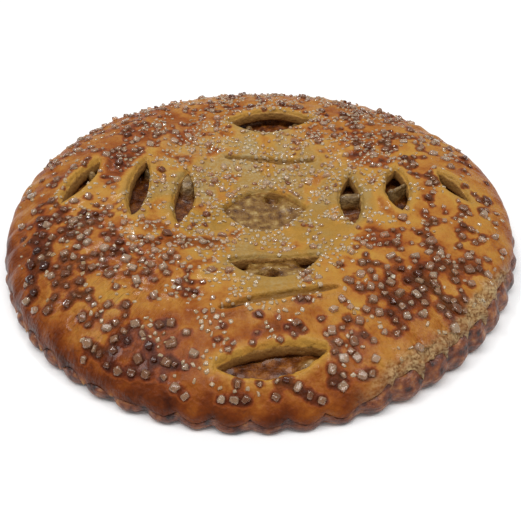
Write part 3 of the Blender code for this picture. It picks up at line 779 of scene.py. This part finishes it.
def scatter(count, seed, edge, spacing, reach, margin, patches, everywhere, patchy=0.0):
    """Drops crystals one by one, in the same order of draws as those of the solid lid.

    edge is the range of their edges. spacing and margin are the least distances to another crystal and to a cut.
    Sugar falls as thickly as everywhere says, more in the patches, and unevenly where patchy isn't 0.
    """
    draw = random.Random(seed)
    goal = len(grains) + count
    taken = np.array([(g.x, g.y) for g in grains] or [(999.0, 999.0)])
    while len(grains) < goal:
        radius = reach * math.sqrt(draw.random())
        angle = math.radians(360.0 * draw.random())
        px, py = radius * math.sin(angle), radius * math.cos(angle)
        if radius > edge_radius(bearing_of(px, py)) - 2.5:
            continue
        weight = everywhere + float(hills(px, py, patches))
        weight *= 1.0 + patchy * 2.5 * noise.noise(Vector((px / 9.0, py / 9.0, seed)))
        if draw.random() > weight:
            continue
        if np.min(np.hypot(taken[:, 0] - px, taken[:, 1] - py)) < spacing:
            continue
        if float(nearest_cut(px, py)) < margin:
            continue
        taken = np.vstack([taken, (px, py)])
        edges = [draw.uniform(*edge) for _ in range(3)]
        grains.append(Grain(px, py, edges, draw.uniform(0.0, 360.0), draw.uniform(-14.0, 14.0)))


scatter(235, 11, (1.9, 3.1), 4.5, 84.0, 3.4, COARSE_PATCHES, 0.12)
scatter(110, 14, (1.5, 2.5), 2.8, 86.0, 2.6, CLUSTERS, 0.0)
scatter(600, 12, (1.0, 1.9), 2.2, 84.5, 1.2, MEDIUM_PATCHES, 0.03, 1.4)
coarse_count = len(grains)
scatter(1450, 13, (0.7, 1.6), 1.35, 84.0, 0.4, FINE_PATCHES, 0.02, 2.2)
print("crystals:", coarse_count, "coarse and", len(grains) - coarse_count, "fine")

# %% [markdown]
# ## Heat
#
# Sugar melts and browns where the crust gets hot: in the ring and on the left edge more than in the moist middle.
# Each crystal gets one number for the heat of its place, and chance makes neighbours differ.

# %% How hot each crystal got
HOT_PATCHES = (
    (-80, -40, 30, 0.4), (-31, -71, 10, 0.6), (12, -81, 8, 0.4), (44, -54, 10, 0.5), (-42, -72, 6, 0.4),
    (-12, -85, 8, 0.3), (25, -65, 12, -0.3), (34, -46, 9, -0.15), (60, -22, 14, -0.16), (-44, -36, 14, -0.15),
    (36, -30, 12, -0.16), (-52, -12, 16, -0.14), (64, -40, 10, -0.14), (10, 66, 50, -0.12),
)
surface = BVHTree.FromPolygons([Vector(p) for p in lid_points[: len(x)]], [tuple(t) for t in triangles])
down = Vector((0.0, 0.0, -1.0))
hits = [surface.ray_cast(Vector((grain.x, grain.y, 60.0)), down) for grain in grains]
rests, normals = (np.array([tuple(hit[i]) for hit in hits]) for i in (0, 1))
gx, gy = rests[:, 0], rests[:, 1]
luck = random.Random(8)
chance = np.array([luck.random() for _ in grains])
heat = 0.12 + 0.5 * ease(30.0, 58.0, np.hypot(gx, gy)) + hills(gx, gy, HOT_PATCHES)
heat = np.clip(heat + 0.5 * (chance - 0.5), 0.0, 1.2)
# Only on the left edge did some of the sugar itself burn.
caramel = 0.30 * heat + 0.2 * (chance > 0.93) + hills(gx, gy, [(-34, -70, 13, 0.08)])
caramel = np.clip(caramel + hills(gx, gy, [(-86, -40, 26, 0.45)]) * (chance > 0.45), 0.0, 0.72)
print("mean heat:", round(float(heat.mean()), 2), "mean caramel:", round(float(caramel.mean()), 2))

# %% [markdown]
# ## One crystal, many times
#
# A crystal is a cube with bevelled edges. Each face is inset, so that a material can tell its middle from its rim,
# which gets a painted highlight. Geometry Nodes put it on every point, because they can size, turn and sink each copy
# by numbers that the point carries, and then bend all of them a little with noise.

# %% A blunt cuboid
work = bmesh.new()
bmesh.ops.create_cube(work, size=1.0)
bmesh.ops.bevel(work, geom=list(work.edges), offset=0.17, segments=1, affect="EDGES")
broad = [face for face in work.faces if len(face.verts) == 4 and face.calc_area() > 0.3]
bmesh.ops.inset_individual(work, faces=broad, thickness=0.1, depth=0.015)
work.verts.index_update()
middle_corners = {corner.index for face in broad for corner in face.verts}
crystal_mesh = bpy.data.meshes.new("blunt_cuboid")
work.to_mesh(crystal_mesh)
work.free()
crystal_mesh.shade_smooth()
crystal = put("blunt_cuboid", crystal_mesh)
# The rim vertices are marked for the sugar's painted highlight.
paint(crystal, "rim", np.array([0.0 if i in middle_corners else 1.0 for i in range(len(crystal_mesh.vertices))]))
print("faces of one crystal:", len(crystal_mesh.polygons))

# %% Set a crystal on each point
WOBBLE_SIZE = 1.3
CRYSTAL_INPUTS = {"Crystal": "Object", "Size": "Float", "Sunk": "Float", "Wobble": "Float", "Finish": "Material"}
tree, sockets, given = geometry_tree("Set crystals", CRYSTAL_INPUTS)
normal, edges, turning = (
    add(tree, "GeometryNodeInputNamedAttribute", {"Name": name}, data_type="FLOAT_VECTOR")
    for name in ("stand", "edges", "turning")
)
upright = add(tree, "FunctionNodeAlignRotationToVector", {"Vector": normal}, axis="Z")
own_turn = add(tree, "FunctionNodeEulerToRotation", {0: turning})
spun = add(tree, "FunctionNodeRotateRotation", {0: upright, 1: own_turn}, rotation_space="LOCAL")
scaled = add(tree, "ShaderNodeVectorMath", {0: edges, "Scale": given["Size"]}, operation="SCALE")
# A crystal is sunk into the crust by a share of its height.
tall = add(tree, "ShaderNodeSeparateXYZ", {0: scaled}, out=2)
lift_share = add(tree, "ShaderNodeMath", {0: 0.5, 1: given["Sunk"]}, operation="SUBTRACT")
lift = add(tree, "ShaderNodeMath", {0: tall, 1: lift_share}, operation="MULTIPLY")
step = add(tree, "ShaderNodeVectorMath", {0: normal, "Scale": lift}, operation="SCALE")
placed = add(tree, "GeometryNodeSetPosition", {"Geometry": given["Geometry"], "Offset": step})
one = add(tree, "GeometryNodeObjectInfo", {"Object": given["Crystal"]}, out="Geometry", transform_space="ORIGINAL")
copies = {"Points": placed, "Instance": one, "Rotation": spun, "Scale": scaled}
whole = add(tree, "GeometryNodeRealizeInstances", {"Geometry": add(tree, "GeometryNodeInstanceOnPoints", copies)})
# Noise pushes the corners about, so that no two crystals are alike. It is the same on every run and needs no seed.
wobble = add(tree, "ShaderNodeTexNoise", {"Scale": 1.0 / (WOBBLE_SIZE * MM), "Detail": 0.0}, out=1)
centred = add(tree, "ShaderNodeVectorMath", {0: wobble, 1: (0.5, 0.5, 0.5)}, operation="SUBTRACT")
push = add(tree, "ShaderNodeVectorMath", {0: centred, "Scale": given["Wobble"]}, operation="SCALE")
bent = add(tree, "GeometryNodeSetPosition", {"Geometry": whole, "Offset": push})
finished = add(tree, "GeometryNodeSetMaterial", {"Geometry": bent, "Material": given["Finish"]})
add(tree, "NodeGroupOutput", {"Geometry": finished}, out=None)


def sugar_piece(name, first, last, finish, sunk, wobble):
    """Makes one mesh of the crystals from the first up to the last."""
    points = mesh_object(name, rests[first:last], [])
    chosen = grains[first:last]
    own = {
        "stand": normals[first:last],
        "edges": np.array([grain.edges for grain in chosen]) * MM,
        "turning": np.radians([(grain.tilt, 0.0, grain.spin) for grain in chosen]),
    }
    for layer, values in own.items():
        target = points.data.attributes.new(layer, "FLOAT_VECTOR", "POINT")
        target.data.foreach_set("vector", values.astype(np.float32).ravel())
    paint(points, "caramel", caramel[first:last])
    paint(points, "tone", chance[first:last])
    values = {"Crystal": crystal, "Size": 0.95, "Sunk": sunk, "Wobble": wobble * MM, "Finish": finish}
    run_tree(points, tree, sockets, values)
    return points


coarse_finish = bpy.data.materials.new("coarse sugar, half melted")
fine_finish = bpy.data.materials.new("fine sugar grains")
coarse_sugar = sugar_piece("coarse_sugar", 0, coarse_count, coarse_finish, 0.57, 1.1)
fine_sugar = sugar_piece("fine_sugar", coarse_count, len(grains), fine_finish, 0.68, 0.8)
bpy.data.objects.remove(crystal, do_unlink=True)

# %% [markdown]
# ## Paint how the pie has baked
#
# The colour of the crust is one number for each point, from 0, pale and moist, to 1, burnt. Steam keeps the middle
# pale; the ring and the skirt are brown, and the left edge is the darkest. A painted texture could hold this too,
# but numbers on the points need no unwrapping, and a rule can set them.

# %% Baking of the lid
# Each patch: x, y, radius, and how much darker it has baked there. The lighter patch at (-44, -57) is partly paler
# dough and partly a painted highlight of the skirt's gloss.
BAKED_PATCHES = (
    (-34, -70, 22, 0.12), (-86, -34, 26, 0.18), (26, -80, 14, 0.04), (-50, 14, 9, 0.16), (5, -63.5, 9, 0.18),
    (42, -60, 10, 0.12), (-40, -40, 12, 0.08), (10, 84, 26, 0.05), (10, 62, 34, -0.12), (2.5, 32, 7.5, -0.26),
    (66, -62, 14, -0.08), (6, -30, 24, -0.06), (26, -60, 6, -0.1), (6, -47, 11, -0.36), (-16, -24, 9, 0.08),
    (-48, -28, 16, -0.05), (62, -12, 16, -0.05), (0, -90, 18, 0.12), (-30, -86, 16, 0.06), (-32, -72, 9, 0.1),
    (-60, -66, 14, 0.08), (-60, -40, 10, -0.06), (-44, -57, 11, -0.15), (-50, 14, 8, 0.14), (-10, -22, 5, 0.26),
    (2, -24, 4, 0.16), (-22, -30, 8, 0.12), (18, -44, 6, 0.12), (-30, 24, 8, 0.2), (34, 20, 9, 0.18),
    (-33, -16, 8, 0.16), (-34, 2, 5, -0.2), (-20, 36, 8, 0.16), (24, 36, 8, 0.14), (0, -18, 5, 0.12),
    (14, -27, 5, 0.16), (10, 60, 40, 0.12), (-60, 40, 24, 0.1), (-27, -24, 10, 0.12), (-12, 14, 5, 0.14),
    (14, 16, 5, 0.12), (-18, -8, 4, 0.14), (24, -14, 5, 0.12), (16, -20, 6, -0.1), (-20, -18, 6, -0.08),
    (36, -24, 7, 0.14),
)
radius = np.hypot(x, y)
middle = 1.0 - ease(34.0, 62.0, radius)
bake = 0.16 + 0.37 * ease(26.0, 58.0, radius) + 0.15 * ease(0.55, 0.95, lean) + hills(x, y, BAKED_PATCHES)
# Clouds of browning, with small ones on the pale middle only.
bake += (0.09 + 0.06 * middle) * relief(x, y, 0.0, 17.0, 2.0) + 0.24 * middle * relief(x, y, 0.0, 6.0, 23.0)
bake += bumps(x, y, z, (0.08, 6.0, 7.0), (0.05, 2.0, 3.0))
spotty = relief(x, y, 0.0, 8.0, 53.0)
bake += middle * np.clip(1.6 * (spotty - 0.05) * (1.0 + 1.2 * relief(x, y, z, 2.0, 54.0)), 0.0, 0.26)
# The lips of the cuts stay paler. The points that hang on the left edge get a painted highlight, and painted shade lies
# between them.
bake -= 0.24 * (1.0 - ease(0.8, 4.5, open_distance)) * (radius > 30.0)
bake += edge_share * hanging(bearing) * (0.10 - 0.45 * between_flutes**2)
print("mean bake:", round(float(bake.mean()), 2))

# %% Stains round the crystals
# Molten sugar has browned the crust round each crystal, and where crystals lie close the stains run together.
stain = np.zeros(len(x))
spots = kdtree.KDTree(len(x))
for number, point in enumerate(zip(x, y, z)):
    spots.insert(Vector(point), number)
spots.balance()
for grain, rest, warmth in zip(grains[:coarse_count], rests, heat):
    reach = 0.5 * sum(grain.edges) / 3.0 + 0.8
    for _, found, away in spots.find_range(Vector(rest), 2.2 * reach):
        stain[found] += warmth * math.exp(-((away / reach) ** 2))
stain *= 1.0 + 0.5 * relief(x, y, z, 2.4, 12.0)
stain = 1.0 - np.exp(-2.4 * np.maximum(stain - 0.06, 0.0))
print("mean stain:", round(float(stain.mean()), 2))

# %% Moisture, dust, crumb and shade
FROSTED = (
    (2, 22, 20, 0.9), (-18, 2, 6, 0.8), (24, 0, 8, 0.5), (-30, 26, 16, 0.4), (-4, -30, 10, 0.5), (6, -46, 8, 0.5),
)
PLEATED = ((-42, -58, 20, 0.9), (46, -60, 16, 0.8), (-66, -40, 14, 0.5))
moist = np.maximum(ease(46.0, 20.0, np.hypot(x - 2.0, y + 4.0)) + 0.2 * relief(x, y, 0.0, 8.0, 5.0), 0.0)
moist = (moist + hills(x, y, ((3, -50, 16, 1.1), (-26, -24, 10, 0.4)))) * (1.0 - 0.8 * ease(0.24, 0.46, bake))
frost = hills(x, y, FROSTED) * np.clip(0.8 - 2.4 * spotty + 0.6 * relief(x, y, z, 3.0, 6.0), 0.0, 1.3)
torn_crumb = torn(bearing) * ease(-0.10, 0.04, lean - torn_margin) * (0.8 + 0.5 * relief(x, y, z, 3.0, 27.0))
crumb = np.maximum(0.3 * ease(0.05, 0.3, wall_share) * (1.0 - ease(0.55, 1.0, wall_share)), torn_crumb)
# The shut cuts are dark lines of painted shade, and each has a short gap that hasn't closed, painted as a darker
# shadow.
shade = ease(0.9, 0.2, crease) * 0.7
for name, span in (("front_middle", (-16.0, -10.0)), ("back_inner", (-5.0, 5.0))):
    along, across = to_cut(x, y, SHUT_CUTS[name])
    shade = np.maximum(shade, window(along, span, 1.0) * ease(0.9, 0.3, np.abs(across)))
pleated = 0.15 * ease(50.0, 66.0, radius) + hills(x, y, PLEATED)
lid_marks = {
    "bake": bake, "stain": stain, "moist": moist, "frost": frost,
    "crumb": crumb, "shade": shade, "wall": wall_share, "pleated": pleated,
}
UNDERSIDE_BAKE = 0.6
for name, values in lid_marks.items():
    paint(lid, name, np.append(values, np.full(len(low_x), UNDERSIDE_BAKE if name == "bake" else 0.0)))
print("numbers painted on the lid:", ", ".join(lid_marks))

# %% [markdown]
# ## Materials
#
# A material starts with one Principled shader. Named numbers from the meshes steer colour ramps, and noise in real
# millimetres adds the grain between the points.

# %% Start and end of a material
def begin(material, marks=(), noises=None, **sockets):
    """Starts a material with its shader's values, and gives the numbers on its mesh and its noises by name.

    Each noise has the size of its bumps in millimetres, and its detail.
    """
    material.use_nodes = True
    tree = material.node_tree
    shader = tree.nodes["Principled BSDF"]
    for name, value in sockets.items():
        shader.inputs[name.replace("_", " ")].default_value = value
    given = {"where": add(tree, "ShaderNodeTexCoord", out="Object")}
    for name in marks:
        given[name] = add(tree, "ShaderNodeAttribute", out="Fac", attribute_name=name)
    for name, (size, detail) in (noises or {}).items():
        inputs = {"Vector": given["where"], "Scale": 1.0 / (size * MM), "Detail": detail}
        given[name] = add(tree, "ShaderNodeTexNoise", inputs)
    return tree, shader, given


def end(tree, shader, colour, heights=()):
    """Gives the shader its colour and its bumps: each has a height, a depth in millimetres and a strength."""
    normal = None
    for height, depth, strength in heights:
        inputs = {"Height": height, "Distance": depth * MM, "Strength": strength, "Normal": normal}
        normal = add(tree, "ShaderNodeBump", inputs)
    tree.links.new(colour, shader.inputs["Base Color"])
    if normal:
        tree.links.new(normal, shader.inputs["Normal"])
    print("nodes of a finish:", len(tree.nodes))


# %% [markdown]
# ## The crust's finish
#
# Egg-washed puff pastry goes from pale and moist to dark red-brown, and the egg gives it a faint gloss. Its colour is
# built in layers, as it was baked: the dough, its moisture, a dust of sugar, the caramel round the crystals, the pale
# crumb where the skin is torn, and the walls of the cuts. Painted shade then darkens the deep walls and the creases.

# %% Egg-washed puff pastry
crust_finish = bpy.data.materials.new("egg-washed puff pastry crust")
ROUGHNESS = 0.42
CRUST_NOISES = {
    "fine": (1.1, 4.0), "cloudy": (7.0, 4.0), "edging": (1.6, 3.0),
    "speckle": (1.3, 2.0), "pores": (0.8, 2.0), "wrinkles": (2.6, 4.0),
}
tree, shader, given = begin(
    crust_finish, lid_marks, CRUST_NOISES, Specular_IOR_Level=0.1, Coat_Weight=0.08, Coat_Roughness=0.12
)
# The dough, by how far it has baked. Noise carries the colour a little up and down.
level = add(tree, "ShaderNodeMath", {0: given["fine"], 1: 0.14, 2: given["bake"]}, operation="MULTIPLY_ADD")
level = add(tree, "ShaderNodeMath", {0: given["cloudy"], 1: 0.42, 2: level}, operation="MULTIPLY_ADD")
level = add(tree, "ShaderNodeMath", {0: level, 1: 0.28}, operation="SUBTRACT")
BAKED_STOPS = [
    (0.0, "#A0834C"), (0.2, "#A67C3A"), (0.38, "#B38438"), (0.52, "#AA702E"),
    (0.64, "#904D18"), (0.76, "#6E310D"), (0.90, "#421907"), (1.0, "#240E05"),
]
colour = add(tree, "ShaderNodeValToRGB", {"Fac": level}, BAKED_STOPS)
# The moist middle, and the specks of sugar dust on it.
damp = add(tree, "ShaderNodeMath", {0: given["moist"], 1: 0.6}, operation="MULTIPLY")
specks = {0: given["speckle"], 1: 6.0, 2: -2.7}
specks = add(tree, "ShaderNodeMath", specks, operation="MULTIPLY_ADD", use_clamp=True)
specks = add(tree, "ShaderNodeMath", {0: specks, 1: 0.7, 2: 0.25}, operation="MULTIPLY_ADD")
dust = add(tree, "ShaderNodeMath", {0: given["frost"], 1: specks}, operation="MULTIPLY", use_clamp=True)
# Caramel: amber at a stain's edge and nearly black in its middle.
ragged = add(tree, "ShaderNodeMath", {0: given["edging"], 1: 0.5}, operation="SUBTRACT")
stained = add(tree, "ShaderNodeMath", {0: ragged, 1: 0.7, 2: given["stain"]}, operation="MULTIPLY_ADD")
covered = add(tree, "ShaderNodeMath", {0: stained, 1: 5.0, 2: -1.1}, operation="MULTIPLY_ADD", use_clamp=True)
covered = add(tree, "ShaderNodeMath", {0: covered, 1: 0.9}, operation="MULTIPLY")
CARAMEL_STOPS = [(0.15, "#A05B26"), (0.4, "#88421A"), (0.65, "#5A240E"), (0.95, "#300F06")]
caramelised = add(tree, "ShaderNodeValToRGB", {"Fac": stained}, CARAMEL_STOPS)
# Crumb in thin level layers, wider than they are high. Its pores are darkened with painted shade.
LAYER_SIZE = (3.333, 3.333, 0.625)
flattened = {"Vector": given["where"], "Scale": [1.0 / (size * MM) for size in LAYER_SIZE]}
flattened = add(tree, "ShaderNodeMapping", flattened)
layers = add(tree, "ShaderNodeTexNoise", {"Vector": flattened, "Scale": 1.0, "Detail": 3.0})
pore_shade = add(tree, "ShaderNodeMath", {0: given["pores"], 1: 0.6}, operation="MULTIPLY")
torn_layers = add(tree, "ShaderNodeMath", {0: layers, 1: 0.4, 2: pore_shade}, operation="MULTIPLY_ADD")
CRUMB_STOPS = [(0.35, "#54361A"), (0.45, "#8E6C46"), (0.58, "#B89C70")]
pale = add(tree, "ShaderNodeValToRGB", {"Fac": torn_layers}, CRUMB_STOPS)
# The walls of the cuts are pale dough, and painted shade darkens them with depth.
any_wall = add(tree, "ShaderNodeMath", {0: given["wall"], 1: 0.01}, operation="GREATER_THAN")
any_wall = add(tree, "ShaderNodeMath", {0: any_wall, 1: 0.75}, operation="MULTIPLY")
wall_depth_shade = add(tree, "ShaderNodeMath", {0: given["wall"], 1: 2.0}, operation="POWER")
wall_depth_shade = add(tree, "ShaderNodeMath", {0: wall_depth_shade, 1: 0.9}, operation="MULTIPLY")
# Painted shade for the creases and gaps of the shut cuts.
shadow = add(tree, "ShaderNodeValToRGB", {"Fac": given["shade"]}, [(0.7, "#6E4A22"), (1.0, "#2E1408")])
for share, over in (
    (damp, "#9A7128"), (dust, "#A89266"), (covered, caramelised), (given["crumb"], pale),
    (any_wall, "#BA8C50"), (wall_depth_shade, "#5A2E10"), (given["shade"], shadow),
):
    colour = add(tree, "ShaderNodeMix", {0: share, 6: colour, 7: over}, out=2, data_type="RGBA")
# The pleated parts of the skirt are the glossiest.
rough = add(tree, "ShaderNodeMath", {0: given["pleated"], 1: -0.22, 2: ROUGHNESS}, operation="MULTIPLY_ADD")
tree.links.new(rough, shader.inputs["Roughness"])
# Fine creases run down to the edge: noise on the direction from the axis changes along the edge only.
CREASE_SIZE = 1.1
flat_way = add(tree, "ShaderNodeVectorMath", {0: given["where"], 1: (1.0, 1.0, 0.0)}, operation="MULTIPLY")
way = add(tree, "ShaderNodeVectorMath", {0: flat_way}, operation="NORMALIZE")
way = add(tree, "ShaderNodeVectorMath", {0: way, "Scale": 0.07}, operation="SCALE")
slow = add(tree, "ShaderNodeVectorMath", {0: given["where"], "Scale": 0.16}, operation="SCALE")
way = add(tree, "ShaderNodeVectorMath", {0: way, 1: slow})
creases = add(tree, "ShaderNodeTexNoise", {"Vector": way, "Scale": 1.0 / (CREASE_SIZE * MM), "Detail": 3.0})
creases = add(tree, "ShaderNodeMath", {0: creases, 1: given["pleated"]}, operation="MULTIPLY")
end(tree, shader, colour, ((given["wrinkles"], 0.9, 0.8), (given["fine"], 0.4, 1.0), (creases, 1.3, 1.0)))
lid.data.materials.append(crust_finish)

# %% [markdown]
# ## The other finishes
#
# Cooked apple in syrup is wet: amber where it shows thinly, dark brown with painted shade deep in the cuts, and milky
# where a film of dough lies over it. The base's wall bakes the darkest, and its thin layers show as level streaks. The
# sugar is warm and half clear, and its rims carry a painted highlight. In hot places it has browned.

# %% Cooked apple in syrup
# Smooth wet syrup over soft fruit: sharp highlights from the coat on a lumpy, grainy ground.
filling_finish = bpy.data.materials.new("cooked apple in syrup")
tree, shader, given = begin(
    filling_finish, ("depth", "film"), {"lumps": (2.6, 4.0), "pulp": (0.7, 3.0)},
    Roughness=0.4, Specular_IOR_Level=0.3, Coat_Weight=0.35, Coat_Roughness=0.06,
)
WET_STOPS = [(0.3, "#4C2C0C"), (0.42, "#6C4818"), (0.54, "#84602A"), (0.64, "#9C7C44"), (0.76, "#BAA06A")]
DEEP_SHADE_STOPS = [(0.3, "#3E1A04"), (0.5, "#6A340C"), (0.72, "#9C5C1C")]
FILM_STOPS = [(0.35, "#5E4624"), (0.6, "#8A7048"), (0.8, "#A89068")]
wet, deep, film_colour = (
    add(tree, "ShaderNodeValToRGB", {"Fac": given["lumps"]}, stops) for stops in (WET_STOPS, DEEP_SHADE_STOPS, FILM_STOPS)
)
veiled = add(tree, "ShaderNodeMath", {0: given["film"], 1: 0.85}, operation="MULTIPLY")
# Deep in the cuts the filling darkens with painted shade.
colour = add(tree, "ShaderNodeMix", {0: given["depth"], 6: wet, 7: deep}, out=2, data_type="RGBA")
colour = add(tree, "ShaderNodeMix", {0: veiled, 6: colour, 7: film_colour}, out=2, data_type="RGBA")
end(tree, shader, colour, ((given["lumps"], 1.0, 0.9), (given["pulp"], 0.5, 1.0)))
filling.data.materials.append(filling_finish)

# %% Dark baked base dough
# Dough baked hard from below: dark, with only a weak sheen, and streaked by its layers.
tree, shader, given = begin(
    base_finish, (), {"blotchy": (2.8, 5.0), "grainy": (1.6, 4.0)}, Roughness=0.42, Coat_Weight=0.12, Coat_Roughness=0.2
)
STREAK_SIZE = (5.556, 5.556, 1.111)
streaks = {"Vector": given["where"], "Scale": [1.0 / (size * MM) for size in STREAK_SIZE]}
streaks = add(tree, "ShaderNodeMapping", streaks)
streaks = add(tree, "ShaderNodeTexNoise", {"Vector": streaks, "Scale": 1.0, "Detail": 4.0})
mixed = add(tree, "ShaderNodeMath", {0: given["blotchy"], 1: 0.75}, operation="MULTIPLY")
mixed = add(tree, "ShaderNodeMath", {0: streaks, 1: 0.25, 2: mixed}, operation="MULTIPLY_ADD")
BASE_STOPS = [(0.36, "#2A1008"), (0.44, "#582610"), (0.54, "#7A3E1C"), (0.66, "#A46834")]
colour = add(tree, "ShaderNodeValToRGB", {"Fac": mixed}, BASE_STOPS)
end(tree, shader, colour, ((given["grainy"], 0.9, 1.0), (streaks, 0.5, 1.0)))

# %% Sugar
# Boiled sugar, softened by the heat: light goes some way in, and the rims carry a painted highlight.
COARSE_STOPS = [
    (0.0, "#F6DAB6"), (0.14, "#E6B88E"), (0.26, "#D2986A"), (0.44, "#AE6C42"), (0.7, "#84421E"), (1.0, "#4E200C"),
]
FINE_STOPS = [(0.0, "#F6E2BE"), (0.4, "#E4C48E"), (1.0, "#AC7440")]
for finish, clearness, stops, rim_highlight_colour in (
    (coarse_finish, 0.7, COARSE_STOPS, "#F6D8BA"),
    (fine_finish, 0.62, FINE_STOPS, "#F8E8C8"),
):
    tree, shader, given = begin(
        finish, ("caramel", "tone", "rim"),
        Roughness=0.12, IOR=1.45, Transmission_Weight=clearness, Coat_Weight=0.35, Coat_Roughness=0.04,
    )
    # No two crystals have quite the same tone.
    browned = add(tree, "ShaderNodeMath", {0: given["tone"], 1: 0.5}, operation="SUBTRACT")
    browned = add(tree, "ShaderNodeMath", {0: browned, 1: 0.36, 2: given["caramel"]}, operation="MULTIPLY_ADD")
    colour = add(tree, "ShaderNodeValToRGB", {"Fac": browned}, stops)
    # A crystal's rim gets a painted highlight, unless the sugar has browned.
    white = add(tree, "ShaderNodeMath", {0: 0.5, 1: given["caramel"]}, operation="SUBTRACT")
    white = add(tree, "ShaderNodeMath", {0: given["rim"], 1: white}, operation="MULTIPLY", use_clamp=True)
    colour = add(tree, "ShaderNodeMix", {0: white, 6: colour, 7: rim_highlight_colour}, out=2, data_type="RGBA")
    end(tree, shader, colour)

# %% [markdown]
# ## Light, floor and camera
#
# A matt white floor, an even pale sky and one large soft lamp give the plain studio light, and three small lamps
# put glints on the sugar. The camera looks down on the pie from the front.

# %% Camera
PITCH, ROLL = 42.01, -1.37  # in degrees
DISTANCE, TARGET, LENS, SENSOR = 216.0, (0.09, -20.34, 0.0), 43.19, 36.0
pitch, roll = math.radians(PITCH), math.radians(ROLL)
ahead = Vector((0.0, math.cos(pitch), -math.sin(pitch)))
right, up = Vector((1.0, 0.0, 0.0)), Vector((0.0, math.sin(pitch), math.cos(pitch)))
turned_right = math.cos(roll) * right + math.sin(roll) * up
turned_up = math.cos(roll) * up - math.sin(roll) * right
view = Matrix((turned_right, turned_up, -ahead)).transposed().to_4x4()
view.translation = (Vector(TARGET) - DISTANCE * ahead) * MM
camera_data = bpy.data.cameras.new("camera")
camera_data.lens, camera_data.sensor_width, camera_data.clip_start = LENS, SENSOR, 0.01
camera = put("camera", camera_data)
camera.matrix_world = view
bpy.context.scene.camera = camera
print("camera at", [round(v, 4) for v in camera.location])

# %% Sky, lamps and floor
world = bpy.data.worlds.new("pale studio")
world.use_nodes = True
background = world.node_tree.nodes["Background"]
background.inputs["Color"].default_value = linear("#FFFFFF")
background.inputs["Strength"].default_value = 0.34
bpy.context.scene.world = world
bpy.context.scene.view_settings.view_transform = "Standard"


def lamp(name, place, size, power):
    """A white rectangular lamp that faces the pie. Its place and size are in metres."""
    light = bpy.data.lights.new(name, "AREA")
    light.shape = "RECTANGLE"
    light.size, light.size_y, light.energy, light.color = *size, power, linear("#FFFFFF")[:3]
    thing = put(name, light)
    thing.location = place
    thing.rotation_euler = (-Vector(place)).to_track_quat("-Z", "Y").to_euler()


lamp("overhead soft box", (0.0, -0.05, 0.8), (0.9, 0.4), 4.6)
lamp("small left lamp", (-0.6, -0.1, 0.8), (0.12, 0.12), 1.3)
lamp("small right lamp", (0.55, -0.1, 0.85), (0.12, 0.12), 1.0)
lamp("small back lamp", (-0.2, 0.6, 0.75), (0.12, 0.12), 1.3)

FLOOR_HALF = 3000
corners = [(x_side * FLOOR_HALF, y_side * FLOOR_HALF, 0) for x_side, y_side in ((-1, -1), (1, -1), (1, 1), (-1, 1))]
floor_finish = bpy.data.materials.new("white studio floor")
begin(floor_finish, Base_Color=linear("#FBFBFB"), Roughness=0.9)
floor = mesh_object("studio_floor", corners, [(0, 1, 2, 3)])
floor.data.materials.append(floor_finish)
print("lamps:", len(bpy.data.lights))

# %% [markdown]
# ## Attach to the body
#
# Each surface rides on the pie's body, and the plain solids of the lid, the filling and the base are hidden.

# %% Ride on the body and hide the solids
for thing, slot in (
    (lid, "lid_pastry"), (filling, "apple_filling"), (base, "base_pastry"), (coarse_sugar, None), (fine_sugar, None),
):
    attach(thing, "root")
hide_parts("lid")
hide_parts("filling")
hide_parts("base_crust")
